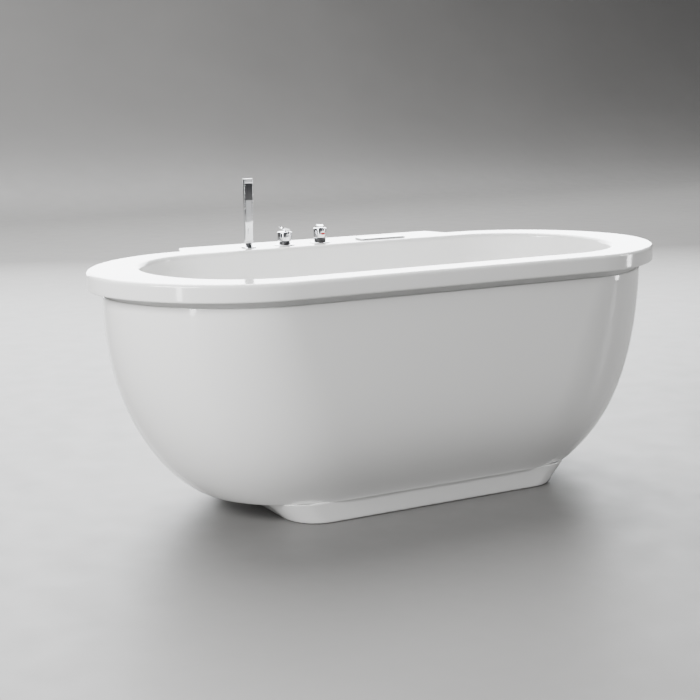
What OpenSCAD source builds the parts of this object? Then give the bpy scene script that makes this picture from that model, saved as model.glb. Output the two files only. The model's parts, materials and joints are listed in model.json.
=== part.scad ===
// Freestanding oval bathtub with a wide lip, a fitting ledge, deck fittings,
// a cable-worked waste and a levelling frame inside the skirt.
// Millimetres. +X runs along the tub, +Y towards the fitting ledge, +Z up from the floor.
// The origin is on the floor, under the middle of the rim's outer box.

/* [Tub] */
// Length over the rim
tub_len = 1800; // [1760:10:1860]
// Width over the rim, without the fitting ledge
tub_w = 760; // [750:2:780]
// Height of the deck above the floor
tub_h = 685; // [670:1:700]
// Height of the upright lip band
lip_h = 48; // [44:1:54]
// Length of the basin opening
basin_len = 1490; // [1460:10:1510]
// Width of the basin opening
basin_w = 570; // [560:2:580]
// Height of the basin floor above the ground
basin_floor = 175; // [170:1:180]
// Thickness of the acrylic and glass fibre wall
wall = 6; // [5:0.5:7]

/* [Fitting ledge] */
// How far the ledge stands out from the straight side
ledge_out = 78; // [70:1:84]
// Half length of the ledge
ledge_half = 452; // [446:1:454]
// Middle of the ledge along the tub
ledge_x = -18; // [-20:1:-14]

/* [Skirt and plinth] */
// Half length of the skirt at its top edge
skirt_top_a = 858; // [850:1:866]
// Half width of the skirt at its top edge
skirt_top_b = 361; // [354:1:362]
// Half length of the skirt's underside
skirt_low_a = 606; // [590:2:620]
// Half width of the skirt's underside
skirt_low_b = 284; // [282:1:290]
// Height of the plinth
plinth_h = 60; // [56:1:64]
// Half length of the plinth on the floor
plinth_a = 436; // [430:1:445]
// Half width of the plinth on the floor
plinth_b = 276; // [270:1:277]

/* [Deck fittings] */
// Place of the hand shower along the tub
handset_x = -270; // [-275:1:-265]
// Place of the diverter along the tub
diverter_x = -148; // [-152:1:-144]
// Place of the mixer along the tub
mixer_x = -25; // [-28:1:-22]
// Place of the spout along the tub
spout_x = 192; // [186:1:200]
// Height of the hand shower bar
handset_h = 193; // [185:1:200]

/* [Hidden] */
$fn = 48;

gap = 0.3;                       // air left between pieces that only lie together
tub_y = -ledge_out / 2;          // the tub's own long axis in the part's frame
half_l = tub_len / 2;
half_w = tub_w / 2;
straight = 491;                  // half length of the rim's straight sides
rim_power = 1.88;                // roundness of the rim's ends, 2 being an ellipse
ledge_soft = 40;                 // length of the ledge's S-shaped ends
deck_t = 8;                      // thickness of the deck
deck_low = tub_h - deck_t;
edge_r = 10;                     // radius of the deck's outer edge
mouth_r = 12;                    // radius of the deck's inner edge
band_t = 12;                     // thickness of the lip band
band_r = 5;                      // radius of the band's lower edge
basin_a = basin_len / 2;
basin_b = basin_w / 2;
basin_low_a = 500;               // half size of the flat basin floor
basin_low_b = 190;
basin_s = 460;                   // half length of the basin's straight sides
neck_in = 10;                    // depth of the shadow neck above the skirt
skirt_top = tub_h - lip_h - 20;
skirt_t = 5;
fit_y = 355;                     // line of the deck fittings, from the tub's axis
valve_low = 600;                 // underside of the valve bodies
drain_r = 25;
over_z = tub_h - 78;             // height of the overflow
over_y = -basin_b;               // inner wall at the overflow
white = "white";
chrome = "silver";

// ---- Oval rings and lofts -------------------------------------------------------------

end_steps = 24;
ledge_steps = 8;
function spow(v, p) = sign(v) * pow(abs(v), p);
function ease(t) = t <= 0 ? 0 : t >= 1 ? 1 : t * t * (3 - 2 * t);
// How much of the ledge there is at x, from 0 to 1
function ledge_at(x) = ease((ledge_half + ledge_soft / 2 - abs(x - ledge_x)) / ledge_soft);
function ledge_run(from) = [for (k = [0 : ledge_steps]) from - k * ledge_soft / ledge_steps];
// Stations along the ledge side, from +X to -X
far_x = concat(ledge_run(ledge_x + ledge_half + ledge_soft / 2), [250, 0, -250],
    ledge_run(ledge_x - ledge_half + ledge_soft / 2));
near_x = [-250, 0, 250];
// Outline of half size a by b, straight to s, round ends of power n, with the ledge standing out by bump
function oval_end(a, b, s, n, from, dir) = [for (i = [0 : end_steps])
    let (t = from + 180 * i / end_steps)
    [dir * s + (a - s) * spow(cos(t), 2 / n), b * spow(sin(t), 2 / n)]];
function oval(a, b, s, n, bump) = concat(
    oval_end(a, b, s, n, -90, 1),
    [for (x = far_x) [x * s / straight, b + bump * ledge_at(x)]],
    oval_end(a, b, s, n, 90, -1),
    [for (x = near_x) [x * s / straight, -b]]);
function ring(a, b, s, n, bump, z) = [for (p = oval(a, b, s, n, bump)) [p[0], p[1], z]];

// A skin through rings of equal length: closed on itself, or with a fan to the middle at both ends
module loft(rings, closed = false) {
    n = len(rings[0]);
    m = len(rings);
    middles = [for (r = [rings[0], rings[m - 1]]) [for (c = [0 : 2]) sum_of(r, c) / n]];
    sides = [for (j = [0 : m - (closed ? 1 : 2)]) for (i = [0 : n - 1])
        let (k = (i + 1) % n, q = (j + 1) % m)
        [j * n + i, q * n + i, q * n + k, j * n + k]];
    fans = closed ? [] : [for (i = [0 : n - 1]) let (k = (i + 1) % n)
        each [[i, k, m * n], [(m - 1) * n + k, (m - 1) * n + i, m * n + 1]]];
    polyhedron(points = concat([for (r = rings) each r], closed ? [] : middles),
        faces = concat(sides, fans));
}
function sum_of(points, c) = [for (p = points) p[c]] * [for (p = points) 1];

// A round hose of radius r along a smooth path in a plane whose normal is across
function mid(p, i, t) = let (a = p[max(i - 1, 0)], b = p[i], c = p[i + 1], d = p[min(i + 2, len(p) - 1)])
    0.5 * ((2 * b) + (c - a) * t + (2 * a - 5 * b + 4 * c - d) * t * t + (3 * b - a - 3 * c + d) * t * t * t);
function smooth(p, k) = concat([for (i = [0 : len(p) - 2]) for (j = [0 : k - 1]) mid(p, i, j / k)],
    [p[len(p) - 1]]);
function unit(v) = v / norm(v);
module hose(points, r, across, k = 5, sides = 8) {
    path = smooth(points, k);
    last = len(path) - 1;
    loft([for (i = [0 : last])
        let (along = unit(path[min(i + 1, last)] - path[max(i - 1, 0)]), out = unit(cross(along, across)))
        [for (j = [0 : sides - 1]) path[i] + r * (cos(360 * j / sides) * out
            + sin(360 * j / sides) * cross(along, out))]]);
}

// ---- Tub ------------------------------------------------------------------------------

basin_u = [0, 0.012, 0.04, 0.09, 0.17, 0.3, 0.5, 0.75, 1];
function basin_ring(u, t) =
    let (grow_a = pow(1 - pow(1 - u, 2.2), 0.62), grow_b = pow(1 - pow(1 - u, 4), 0.5))
    ring(basin_low_a + (basin_a - basin_low_a) * grow_a + t,
        basin_low_b + (basin_b - basin_low_b) * grow_b + t,
        380 + (basin_s - 380) * u, 2.3 - 0.3 * u, 0,
        basin_floor + (tub_h - mouth_r - basin_floor) * u - t * pow(1 - u, 2));
function rim_ring(inset, z) = ring(half_l - inset, half_w - inset, straight, rim_power, ledge_out, z);
function mouth_ring(out, z) = ring(basin_a + out, basin_b + out, basin_s, 2, 0, z);

module tub_frame() {
    translate([0, tub_y, 0]) children();
}

module basin_shell() color(white) tub_frame() difference() {
    loft(concat(
        [for (u = basin_u) basin_ring(u, wall)],
        [mouth_ring(wall + 2, deck_low), rim_ring(band_t, deck_low), rim_ring(band_t, tub_h - lip_h)],
        [for (t = [0, 45, 90]) rim_ring(band_r * (1 - sin(t)), tub_h - lip_h + band_r * (1 - cos(t)))],
        [for (t = [0, 30, 60, 90]) rim_ring(edge_r * (1 - cos(t)), tub_h - edge_r * (1 - sin(t)))],
        [for (t = [0, 30, 60]) mouth_ring(mouth_r * (1 - sin(t)), tub_h - mouth_r * (1 - cos(t)))],
        [for (i = [len(basin_u) - 1 : -1 : 0]) basin_ring(basin_u[i], 0)]));
    translate([0, 0, basin_floor - 20]) cylinder(r = drain_r + 1, h = 40);
    translate([0, over_y + 25, over_z]) rotate([90, 0, 0]) cylinder(r = 20, h = 60);
    for (x = [handset_x, diverter_x, mixer_x])
        translate([x, fit_y, deck_low - 10]) cylinder(r = deck_hole_r, h = 40);
    translate([spout_x, fit_y, deck_low - 10]) rounded_block(132, 24, 40, 8);
}

// Section of the skirt: a boat-shaped side that tucks in towards the plinth
skirt_u = [0, 0.015, 0.04, 0.08, 0.13, 0.2, 0.3, 0.42, 0.56, 0.72, 0.86, 1];
function skirt_ring(u, t, lift = 0) =
    let (grow_a = pow(1 - pow(1 - u, 2.1), 0.78), grow_b = pow(1 - pow(1 - u, 6), 1.4))
    ring(skirt_low_a + (skirt_top_a - skirt_low_a) * grow_a - t,
        skirt_low_b + (skirt_top_b - skirt_low_b) * grow_b - t,
        260 + (straight - 260) * u, 2.28 - 0.5 * u, ledge_out * (1 - pow(1 - u, 3)),
        plinth_h + (skirt_top - plinth_h) * u + lift * pow(1 - u, 2));
function neck_ring(inset, z) = ring(skirt_top_a - inset, skirt_top_b - inset, straight, 1.78, ledge_out, z);
function floor_ring(z) = ring(470, 245, 300, 4, 0, z);

module outer_skirt() color(white) tub_frame() loft(concat(
    [for (u = skirt_u) skirt_ring(u, 0)],
    [neck_ring(3, skirt_top + 3), neck_ring(neck_in, skirt_top + 3), neck_ring(neck_in, skirt_top + 42),
     neck_ring(neck_in + skirt_t, skirt_top + 42)],
    [skirt_ring(1, neck_in + skirt_t)],
    [for (i = [len(skirt_u) - 2 : -1 : 0]) skirt_ring(skirt_u[i], skirt_t, skirt_t)],
    [floor_ring(plinth_h + skirt_t), floor_ring(plinth_h)]), closed = true);

// Rounded rectangle ring of half size a by b and corner radius r
function box_ring(a, b, r, z) = [for (q = [0 : 3]) for (i = [0 : 7])
    let (t = q * 90 + 90 * i / 7, sx = q == 0 || q == 3 ? 1 : -1, sy = q < 2 ? 1 : -1)
    [sx * (a - r) + r * cos(t), sy * (b - r) + r * sin(t), z]];
plinth_flare = 64;               // how far the plinth's ends lean out towards its top
function plinth_ring(inset, z) = let (rise = z / plinth_h)
    box_ring(plinth_a + plinth_flare * rise - inset, plinth_b + 2 * rise - inset, 95 + 20 * rise - inset, z);

module plinth() color(white) tub_frame() loft(concat(
    [plinth_ring(5, 0), plinth_ring(1.5, 1.5), plinth_ring(0, 6), plinth_ring(0, plinth_h)],
    [plinth_ring(8, plinth_h), plinth_ring(8, 9), plinth_ring(36, 6), plinth_ring(36, 0)]), closed = true);

// ---- Base board, frame and feet ---------------------------------------------------------

board_t = 18;
board_top = basin_floor - wall - gap;
rail_h = 25;
rail_top = board_top - board_t - gap;
bar_top = rail_top - rail_h;
bar_low = bar_top - rail_h;
foot_x = 360;
foot_y = 190;
bar_l = 440;                     // length of a crossbar
bracket_y = 214;                 // middle of a bracket's side plate

module rounded_block(l, w, h, r) {
    linear_extrude(h) rounded_plate(l, w, r);
}
module rounded_plate(l, w, r) {
    square([l - 2 * r, w], center = true);
    square([l, w - 2 * r], center = true);
    for (sx = [-1, 1]) for (sy = [-1, 1])
        translate([sx * (l / 2 - r), sy * (w / 2 - r)]) circle(r = r);
}

module base_board() color("burlywood") tub_frame() translate([0, 0, board_top - board_t]) difference() {
    rounded_block(920, 350, board_t, 40);
    translate([0, 0, -1]) cylinder(r = 48, h = board_t + 2);
}

module box_tube(l, h) {
    difference() {
        cube([l, h, h], center = true);
        cube([l + 2, h - 4, h - 4], center = true);
    }
}

module frame_rails() color("dimgray") tub_frame() for (sy = [-1, 1])
    translate([0, sy * 130, rail_top - rail_h / 2]) box_tube(900, rail_h);

screw_z = bar_low + rail_h / 2 - gap;
module frame_crossbars() color("dimgray") tub_frame() for (sx = [-1, 1])
    translate([sx * foot_x, 0, screw_z]) difference() {
        rotate([0, 0, 90]) box_tube(bar_l, rail_h);
        for (sy = [-1, 1]) {
            translate([0, sy * foot_y, -rail_h]) cylinder(r = 6.5, h = 2 * rail_h);
            translate([sx * 5, sy * bracket_y, 0]) rotate([0, sx * 90, 0]) cylinder(r = 2.3, h = 20);
        }
    }

module at_feet() {
    for (sx = [-1, 1]) for (sy = [-1, 1]) translate([sx * foot_x, sy * foot_y, 0]) children();
}

module foot_studs() color("silver") tub_frame() at_feet() {
    translate([0, 0, 6]) cylinder(r = 6, h = bar_top + 14);
}

module hex_nut(af, bore, h) {
    difference() {
        cylinder(r = af / 2 / cos(30), h = h, $fn = 6);
        translate([0, 0, -1]) cylinder(r = bore, h = h + 2);
    }
}

module foot_nuts() color("silver") tub_frame() at_feet() {
    translate([0, 0, bar_low - gap - 10 - gap]) hex_nut(19, 6.02, 10);
    translate([0, 0, bar_top]) hex_nut(19, 6.02, 10);
}

module foot_pads() color("black") tub_frame() at_feet() difference() {
    union() {
        cylinder(r = 25, h = 8);
        translate([0, 0, 8]) cylinder(r1 = 20, r2 = 12, h = 8);
    }
    translate([0, 0, 6 - gap]) cylinder(r = 6.02, h = 20);
}

foot_low = plinth_h + skirt_t + gap;
// Children placed at the outer side face of each crossbar end, +X outwards and +Y towards the skirt
module at_bar_ends() {
    for (sx = [0, 1]) for (sy = [0, 1]) mirror([sx, 0, 0]) mirror([0, sy, 0])
        translate([foot_x + rail_h / 2 + gap, bracket_y, 0]) children();
}

module skirt_brackets() color("lightsteelblue") tub_frame() at_bar_ends() difference() {
    union() {
        translate([0, -22, foot_low]) cube([4, 44, bar_top - foot_low - gap]);
        translate([0, -22, foot_low]) cube([25, 60, 4]);
    }
    translate([-1, 0, screw_z]) rotate([0, 90, 0]) cylinder(r = 2.3, h = 6);
}

module bracket_screws() color("silver") tub_frame() at_bar_ends() translate([0, 0, screw_z]) rotate([0, 90, 0]) {
    translate([0, 0, -8]) cylinder(r = 2, h = 12.5);
    translate([0, 0, 4 + gap]) cylinder(r = 4.5, h = 2);
    translate([0, 0, 6 + gap]) cylinder(r1 = 4.5, r2 = 3, h = 1);
}

// ---- Waste and overflow -------------------------------------------------------------------

drain_bore = 21;
module drain_body() color(chrome) tub_frame() translate([0, 0, basin_floor]) {
    difference() {
        union() {
            cylinder(r = 36, h = 1.5);
            translate([0, 0, 1.5]) cylinder(r1 = 36, r2 = 34, h = 1.5);
            translate([0, 0, -48]) cylinder(r = drain_r, h = 49);
        }
        translate([0, 0, -49]) cylinder(r = drain_bore, h = 60);
        translate([0, 0, -0.5]) cylinder(r1 = drain_bore, r2 = 28, h = 3.6);
    }
    // Spider that guides the plug's stem
    difference() {
        union() {
            for (a = [0, 60, 120]) rotate([0, 0, a]) translate([-drain_bore - 1, -1.2, -34])
                cube([2 * drain_bore + 2, 2.4, 4]);
            translate([0, 0, -34]) cylinder(r = 7, h = 6);
        }
        translate([0, 0, -35]) cylinder(r = 4.05, h = 10);
    }
}

module drain_gasket() color("dimgray") tub_frame() translate([0, 0, basin_floor - wall - 3 - gap]) difference() {
    cylinder(r = 38, h = 3);
    translate([0, 0, -1]) cylinder(r = drain_r + gap, h = 5);
}

module drain_nut() color("gray") tub_frame() translate([0, 0, basin_floor - wall - 13 - 2 * gap]) difference() {
    cylinder(r = 38, h = 10, $fn = 8);
    translate([0, 0, -1]) cylinder(r = drain_r + 0.02, h = 12);
}

plug_z = basin_floor + 3.4;      // underside of the closed plug's head

module drain_plug() color(chrome) tub_frame() translate([0, 0, plug_z]) {
    cylinder(r = 31, h = 2);
    translate([0, 0, 2]) cylinder(r1 = 31, r2 = 27, h = 2.5);
    translate([0, 0, 4.5]) cylinder(r1 = 27, r2 = 16, h = 1.5);
    translate([0, 0, -40]) cylinder(r = 4, h = 41);
}

module plug_seal() color("black") tub_frame() translate([0, 0, plug_z - 3.6]) difference() {
    cylinder(r = 19.4, h = 3.3);
    translate([0, 0, -1]) cylinder(r = 4.02, h = 6);
}

tee_z = 100;
module waste_tee() color("gainsboro") tub_frame() difference() {
    union() {
        translate([0, 0, 66]) cylinder(r = 24, h = 56);
        translate([0, 0, 118]) cylinder(r = 30, h = 22);
        translate([0, -14, tee_z]) rotate([90, 0, 0]) cylinder(r = 20, h = 34);
        translate([26, 0, tee_z + 8]) rotate([0, 90, 0]) cylinder(r = 7, h = 12);
        translate([20, 0, tee_z + 8]) rotate([0, 90, 0]) cylinder(r = 9, h = 8);
    }
    translate([0, 0, 126]) cylinder(r = drain_r + 0.05, h = 15);
    translate([0, 0, 86]) cylinder(r = 19, h = 41);
    translate([0, 0, 65]) cylinder(r = 19.65, h = 21.5);
    translate([0, -10, tee_z]) rotate([90, 0, 0]) cylinder(r = 14.1, h = 40);
}

module tailpiece() color("gainsboro") tub_frame() difference() {
    union() {
        translate([0, 0, 12]) cylinder(r = 20, h = 50);
        translate([0, 0, 61]) cylinder(r = 19.6, h = 25);
    }
    translate([0, 0, 11]) cylinder(r = 17.5, h = 80);
}

boss_z = over_z - 10;
module overflow_body() color("gainsboro") tub_frame() difference() {
    union() {
        translate([0, over_y - wall - 3 - 2 * gap, over_z]) rotate([90, 0, 0]) cylinder(r = 32, h = 4);
        translate([0, over_y - wall - 5, over_z]) rotate([90, 0, 0]) cylinder(r = 27, h = 36);
        translate([0, -318, over_z - 52]) cylinder(r = 17, h = 40);
        translate([20, -318, boss_z]) rotate([0, 90, 0]) cylinder(r = 7, h = 14);
    }
    translate([0, over_y - wall - 2, over_z]) rotate([90, 0, 0]) cylinder(r = 20, h = 35);
    translate([0, -318, over_z - 53]) cylinder(r = 14, h = 50);
}

module overflow_gasket() color("black") tub_frame()
    translate([0, over_y - wall - gap, over_z]) rotate([90, 0, 0]) difference() {
        cylinder(r = 32, h = 3);
        translate([0, 0, -1]) cylinder(r = 20, h = 5);
    }

module overflow_knob() color(chrome) tub_frame()
    translate([0, over_y + 3, over_z]) rotate([-90, 0, 0]) {
        cylinder(r = 34, h = 4);
        translate([0, 0, 4]) cylinder(r1 = 34, r2 = 31, h = 4);
        translate([0, 0, -34]) cylinder(r = 5, h = 35);
        for (s = [-1, 1]) translate([s * 24, 0, 6]) cylinder(r = 4, h = 5);
    }

module cable_crank() color("silver") tub_frame()
    translate([0, over_y - 26, over_z]) rotate([90, 0, 0]) difference() {
        union() {
            cylinder(r = 9, h = 4);
            translate([0, -3, 0]) cube([16, 6, 4]);
        }
        translate([0, 0, -1]) cylinder(r = 5.02, h = 6);
    }

overflow_path = [[0, -48, tee_z], [0, -120, tee_z], [0, -200, tee_z + 4], [0, -255, tee_z + 40],
    [0, -285, 210], [0, -308, 300], [0, -318, 400], [0, -318, 500], [0, -318, over_z - 52]];
module overflow_hose() color("lightgray") tub_frame() hose(overflow_path, 14, [1, 0, 0], 4, 12);

cable_path = [[38.6, 0, tee_z + 8], [43, 0, tee_z + 8], [48, 0, tee_z + 8], [55, -12, tee_z + 6],
    [58, -40, tee_z + 2], [62, -120, tee_z], [62, -200, tee_z + 6], [60, -256, tee_z + 46],
    [54, -292, 220], [52, -316, 320], [52, -320, 450], [50, -319, 540], [50, -318, boss_z - 14],
    [44, -318, boss_z - 2], [39, -318, boss_z], [34.6, -318, boss_z]];
module lift_cable() color("dimgray") tub_frame() hose(cable_path, 3, [1, 0, 0.1], 4, 8);

// ---- Deck fittings ------------------------------------------------------------------------

deck_hole_r = 16;
plate_r = 32.5;

module on_deck(x) {
    translate([x, tub_y + fit_y, tub_h]) children();
}

handset_w = 28.5;                // width of the bar at its top
handset_foot = 25;               // width of the bar at its foot
handset_t = 13;
handset_low = 13;                // underside of the bar above the deck
spray_h = 51;
spray_w = 25;
spray_depth = 1.5;
spray_low = handset_low + handset_h - 13 - spray_h;
stem_r = 4.5;

module handset_bar() color(chrome) on_deck(handset_x) difference() {
    translate([0, handset_t / 2, handset_low]) rotate([90, 0, 0]) linear_extrude(handset_t)
        polygon([[-handset_foot / 2, 0], [handset_foot / 2, 0],
            [handset_w / 2, handset_h], [-handset_w / 2, handset_h]]);
    translate([-spray_w / 2, -handset_t / 2 - 1, spray_low]) cube([spray_w, spray_depth + 1, spray_h]);
    translate([0, 0, handset_low - 1]) cylinder(r = stem_r, h = 13);
}

module handset_spray_plate() color("black") on_deck(handset_x) {
    translate([-spray_w / 2 + gap, -handset_t / 2 + gap, spray_low + gap])
        cube([spray_w - 2 * gap, spray_depth - 2 * gap, spray_h - 2 * gap]);
    for (i = [0 : 9]) for (j = [-1 : 1])
        translate([j * 7, -handset_t / 2 + gap, spray_low + 5 + i * 4.5])
            rotate([90, 0, 0]) cylinder(r = 0.9, h = 0.9, $fn = 16);
}

module handset_connector() color("black") on_deck(handset_x) {
    translate([0, 0, 6.3]) cylinder(r1 = 9, r2 = 9.8, h = 2.7);
    translate([0, 0, 9]) cylinder(r = 9.8, h = handset_low - 9 - 0.1);
    translate([0, 0, handset_low - 1]) cylinder(r = stem_r - 0.05, h = 11);
}

hose_r = 6;
hose_in = 180;                   // length of hose that hangs below the deck and lifts with the bar
module handset_hose() color("silver") on_deck(handset_x)
    translate([0, 0, -hose_in]) cylinder(r = hose_r, h = hose_in + 6.3);

module handset_holder() color(chrome) on_deck(handset_x) difference() {
    union() {
        cylinder(r1 = 23.5, r2 = 22.5, h = 2.5);
        translate([0, 0, 2.5]) cylinder(r1 = 22.5, r2 = 11, h = 2.5);
        translate([0, 0, 5]) cylinder(r = 11, h = 1);
        translate([0, 0, -40]) cylinder(r = 12, h = 41);
    }
    translate([0, 0, -41]) cylinder(r = hose_r + 0.8, h = 60);
}

module escutcheon() {
    difference() {
        union() {
            cylinder(r = plate_r, h = 1.5);
            translate([0, 0, 1.5]) cylinder(r1 = plate_r, r2 = plate_r - 7, h = 1.5);
        }
        translate([0, 0, -1]) cylinder(r = 15 + gap, h = 6);
    }
}

module diverter_escutcheon() color(chrome) on_deck(diverter_x) escutcheon();
module mixer_escutcheon() color(chrome) on_deck(mixer_x) escutcheon();

diverter_r = 22;
mixer_r = 20;
collar_low = 3 + gap;

// Black collar between plate and handle, round the valve's spindle
module collar(r1, r2, top) {
    difference() {
        translate([0, 0, collar_low]) cylinder(r1 = r1, r2 = r2, h = top - collar_low);
        translate([0, 0, 0]) cylinder(r = 11 + gap, h = top + 1);
    }
}

module diverter_collar() color("black") on_deck(diverter_x) collar(17.5, 14.5, 12);
module mixer_collar() color("black") on_deck(mixer_x) collar(18, 18, 14.5);

diverter_low = 12 + gap;
diverter_top = 40;
mixer_low = 14.5 + gap;
mixer_top = 45;
mark_z = 28.5;                   // middle of the marks above the deck
lever_w = 20;
lever_l = 28;
barrel_r = 2.25;                 // barrel round the lever's pivot
lever_rise = 6.5;                // top of the lever above its pivot

// Flat stadium-shaped mark facing -Y on a handle of radius r, grown by extra all round
module mark(r, l, w, z, extra) {
    translate([0, -r + 2 + extra, z]) rotate([90, 0, 0]) linear_extrude(2.3 + 3 * extra) {
        square([l - w, w + 2 * extra], center = true);
        for (s = [-1, 1]) translate([s * (l - w) / 2, 0]) circle(r = w / 2 + extra);
    }
}

module handle_cup(r, low, top, mark_l, mark_w) {
    difference() {
        union() {
            translate([0, 0, low]) cylinder(r1 = r - 1.5, r2 = r, h = 1.5);
            translate([0, 0, low + 1.5]) cylinder(r = r, h = top - low - 4);
            translate([0, 0, top - 2.5]) cylinder(r1 = r, r2 = r - 2.5, h = 2.5);
        }
        translate([0, 0, low - 1]) cylinder(r = 11 + gap, h = 17);
        mark(r, mark_l, mark_w, mark_z, gap);
    }
}

// Wedge-shaped lever from its pivot at the origin towards +X, with a barrel round the pivot
lever_back = 9;                  // pivot's distance behind the middle of the handle
pin_up = 2.5;                    // pivot's height above the handle's top
pin_r = 1.2;
ear_r = 2.4;
ear_t = 2;
module blade() {
    rotate([90, 0, 0]) cylinder(r = barrel_r, h = lever_w, center = true);
    intersection() {
        translate([0, lever_w / 2, 0]) rotate([90, 0, 0]) linear_extrude(lever_w)
            polygon([[-2.2, 0], [0, -barrel_r], [lever_l, -1.2], [lever_l, 1.6], [0, lever_rise],
                [-2.2, lever_rise - 1]]);
        translate([0, 0, -10]) linear_extrude(20) {
            translate([-10, -lever_w / 2]) square([lever_l + 10 - lever_w / 2, lever_w]);
            translate([lever_l - lever_w / 2, 0]) circle(r = lever_w / 2);
        }
    }
}
// Two ears at the ends of the lever's barrel
module ears() {
    for (s = [-1, 1]) translate([-lever_back, s * (lever_w / 2 + gap + ear_t / 2), 0]) {
        translate([-ear_r, -ear_t / 2, -1]) cube([2 * ear_r, ear_t, pin_up + 1]);
        translate([0, 0, pin_up]) rotate([90, 0, 0]) cylinder(r = ear_r, h = ear_t, center = true);
    }
}
module pivot_bore(r) {
    rotate([90, 0, 0]) cylinder(r = r, h = lever_w + 4 * ear_t, center = true);
}

mixer_rest = 6;                  // the mixer lever's own slope when shut
diverter_rest = 24;              // fixed slope of the diverter's lever
diverter_turn = 180;             // direction of the diverter's lever at rest
mixer_turn = 250;                // direction of the mixer's lever at rest

module diverter_handle() color(chrome) on_deck(diverter_x) {
    handle_cup(diverter_r, diverter_low, diverter_top, 7, 4);
    translate([0, 0, diverter_top]) rotate([0, 0, diverter_turn]) {
        ears();
        translate([-lever_back, 0, pin_up]) rotate([90, 0, 0])
            cylinder(r = pin_r, h = lever_w + 2 * ear_t, center = true);
        translate([-lever_back, 0, pin_up]) rotate([0, -diverter_rest, 0]) blade();
        translate([-lever_back - 2, -lever_w / 2 + 1, -1]) cube([9, lever_w - 2, 3]);
    }
}
module diverter_mark() color("darkslategray") on_deck(diverter_x)
    mark(diverter_r, 7, 4, mark_z, 0);

module mixer_handle() color(chrome) on_deck(mixer_x) {
    handle_cup(mixer_r, mixer_low, mixer_top, 14, 6.5);
    difference() {
        translate([0, 0, mixer_top]) rotate([0, 0, mixer_turn]) ears();
        translate([0, 0, mixer_top + pin_up]) rotate([0, 0, mixer_turn]) translate([-lever_back, 0, 0])
            pivot_bore(pin_r + 0.01);
    }
}
module mixer_mark() color("firebrick") on_deck(mixer_x)
    mark(mixer_r, 14, 6.5, mark_z, 0);

module at_pivot() {
    on_deck(mixer_x) translate([0, 0, mixer_top + pin_up]) rotate([0, 0, mixer_turn])
        translate([-lever_back, 0, 0]) children();
}
module mixer_lever() color(chrome) at_pivot() rotate([0, -mixer_rest, 0]) difference() {
    blade();
    pivot_bore(pin_r + 0.05);
}
module lever_pin() color("silver") at_pivot() rotate([90, 0, 0])
    cylinder(r = pin_r, h = lever_w + 2 * ear_t + 2 * gap, center = true);

// Valve body below the deck with its spindle up into the handle
module valve(spindle_top) {
    translate([0, 0, -deck_t - 20]) cylinder(r = 15, h = deck_t + 20 + 3);
    translate([0, 0, 3]) cylinder(r = 11, h = spindle_top - 3);
    translate([0, 0, valve_low - tub_h]) cylinder(r = 24, h = deck_low - 22 - valve_low);
    translate([0, 0, deck_low - 24 - tub_h]) cylinder(r = 15, h = 8);
}
module port(x, r, h) {
    translate([x, 0, valve_low - tub_h - h]) cylinder(r = r, h = h + 2);
}

link_z = valve_low + 20 - tub_h;
module diverter_valve() color("goldenrod") on_deck(diverter_x) {
    valve(24);
    port(-13, 7, 22);
    port(13, 7, 22);
    translate([20, 0, link_z]) rotate([0, 90, 0]) cylinder(r = 8, h = 16);
}
module mixer_valve() color("goldenrod") on_deck(mixer_x) {
    valve(26);
    port(-12, 7, 18);
    port(12, 7, 18);
    translate([-36, 0, link_z]) rotate([0, 90, 0]) cylinder(r = 8, h = 16);
}

spout_l = 160;
spout_w = 46;
spout_h = 4;
spout_top = 1.4;                 // thickness of the cover's top
module spout_cover() color(chrome) on_deck(spout_x) difference() {
    rounded_block(spout_l, spout_w, spout_h, 6);
    translate([0, 0, -1]) rounded_block(spout_l - 12, spout_w - 12, spout_h - spout_top + 1, 4);
    translate([-spout_l / 2 + 8, -spout_w / 2 - 1, 0.9]) cube([spout_l - 16, 10, 1.7]);
}

module spout_box() color("gainsboro") on_deck(spout_x) difference() {
    union() {
        translate([0, 0, -70]) rounded_block(150, 36, 58, 8);
        translate([0, 0, -20]) rounded_block(128, 20, 21.9, 6);
        translate([0, 0, -92]) cylinder(r = 7, h = 24);
    }
    translate([0, 0, -67]) rounded_block(144, 30, 52, 6);
    translate([0, 0, -19]) rounded_block(122, 14, 24, 4);
    translate([0, 0, -93]) cylinder(r = 5, h = 30);
}

module deck_washers() color("black") for (x = [handset_x, diverter_x, mixer_x]) on_deck(x)
    translate([0, 0, -deck_t - 3 - gap]) difference() {
        cylinder(r = 24, h = 3);
        translate([0, 0, -1]) cylinder(r = deck_hole_r, h = 5);
    }

module deck_nuts() color("goldenrod") for (x = [handset_x, diverter_x, mixer_x]) on_deck(x)
    translate([0, 0, -deck_t - 11 - 2 * gap]) difference() {
        cylinder(r = 22, h = 8, $fn = 6);
        translate([0, 0, -1]) cylinder(r = x == handset_x ? 12.02 : 15.02, h = 10);
    }

module link_hose() color("silver") on_deck(diverter_x) translate([36, 0, link_z])
    rotate([0, 90, 0]) cylinder(r = 7, h = mixer_x - diverter_x - 72);

port_end = valve_low - 22 - gap;
spout_path = [[diverter_x + 13, fit_y, port_end], [diverter_x + 13, fit_y, port_end - 12],
    [diverter_x + 13, fit_y, port_end - 24], [diverter_x + 40, fit_y, 506],
    [diverter_x + 110, fit_y, 480], [0, fit_y, 474], [80, fit_y, 476], [160, fit_y, 492],
    [spout_x - 6, fit_y, 530], [spout_x, fit_y, tub_h - 116], [spout_x, fit_y, tub_h - 104],
    [spout_x, fit_y, tub_h - 92 - gap]];
module spout_hose() color("silver") tub_frame() hose(spout_path, 6, [0, 1, 0], 4, 8);

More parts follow.
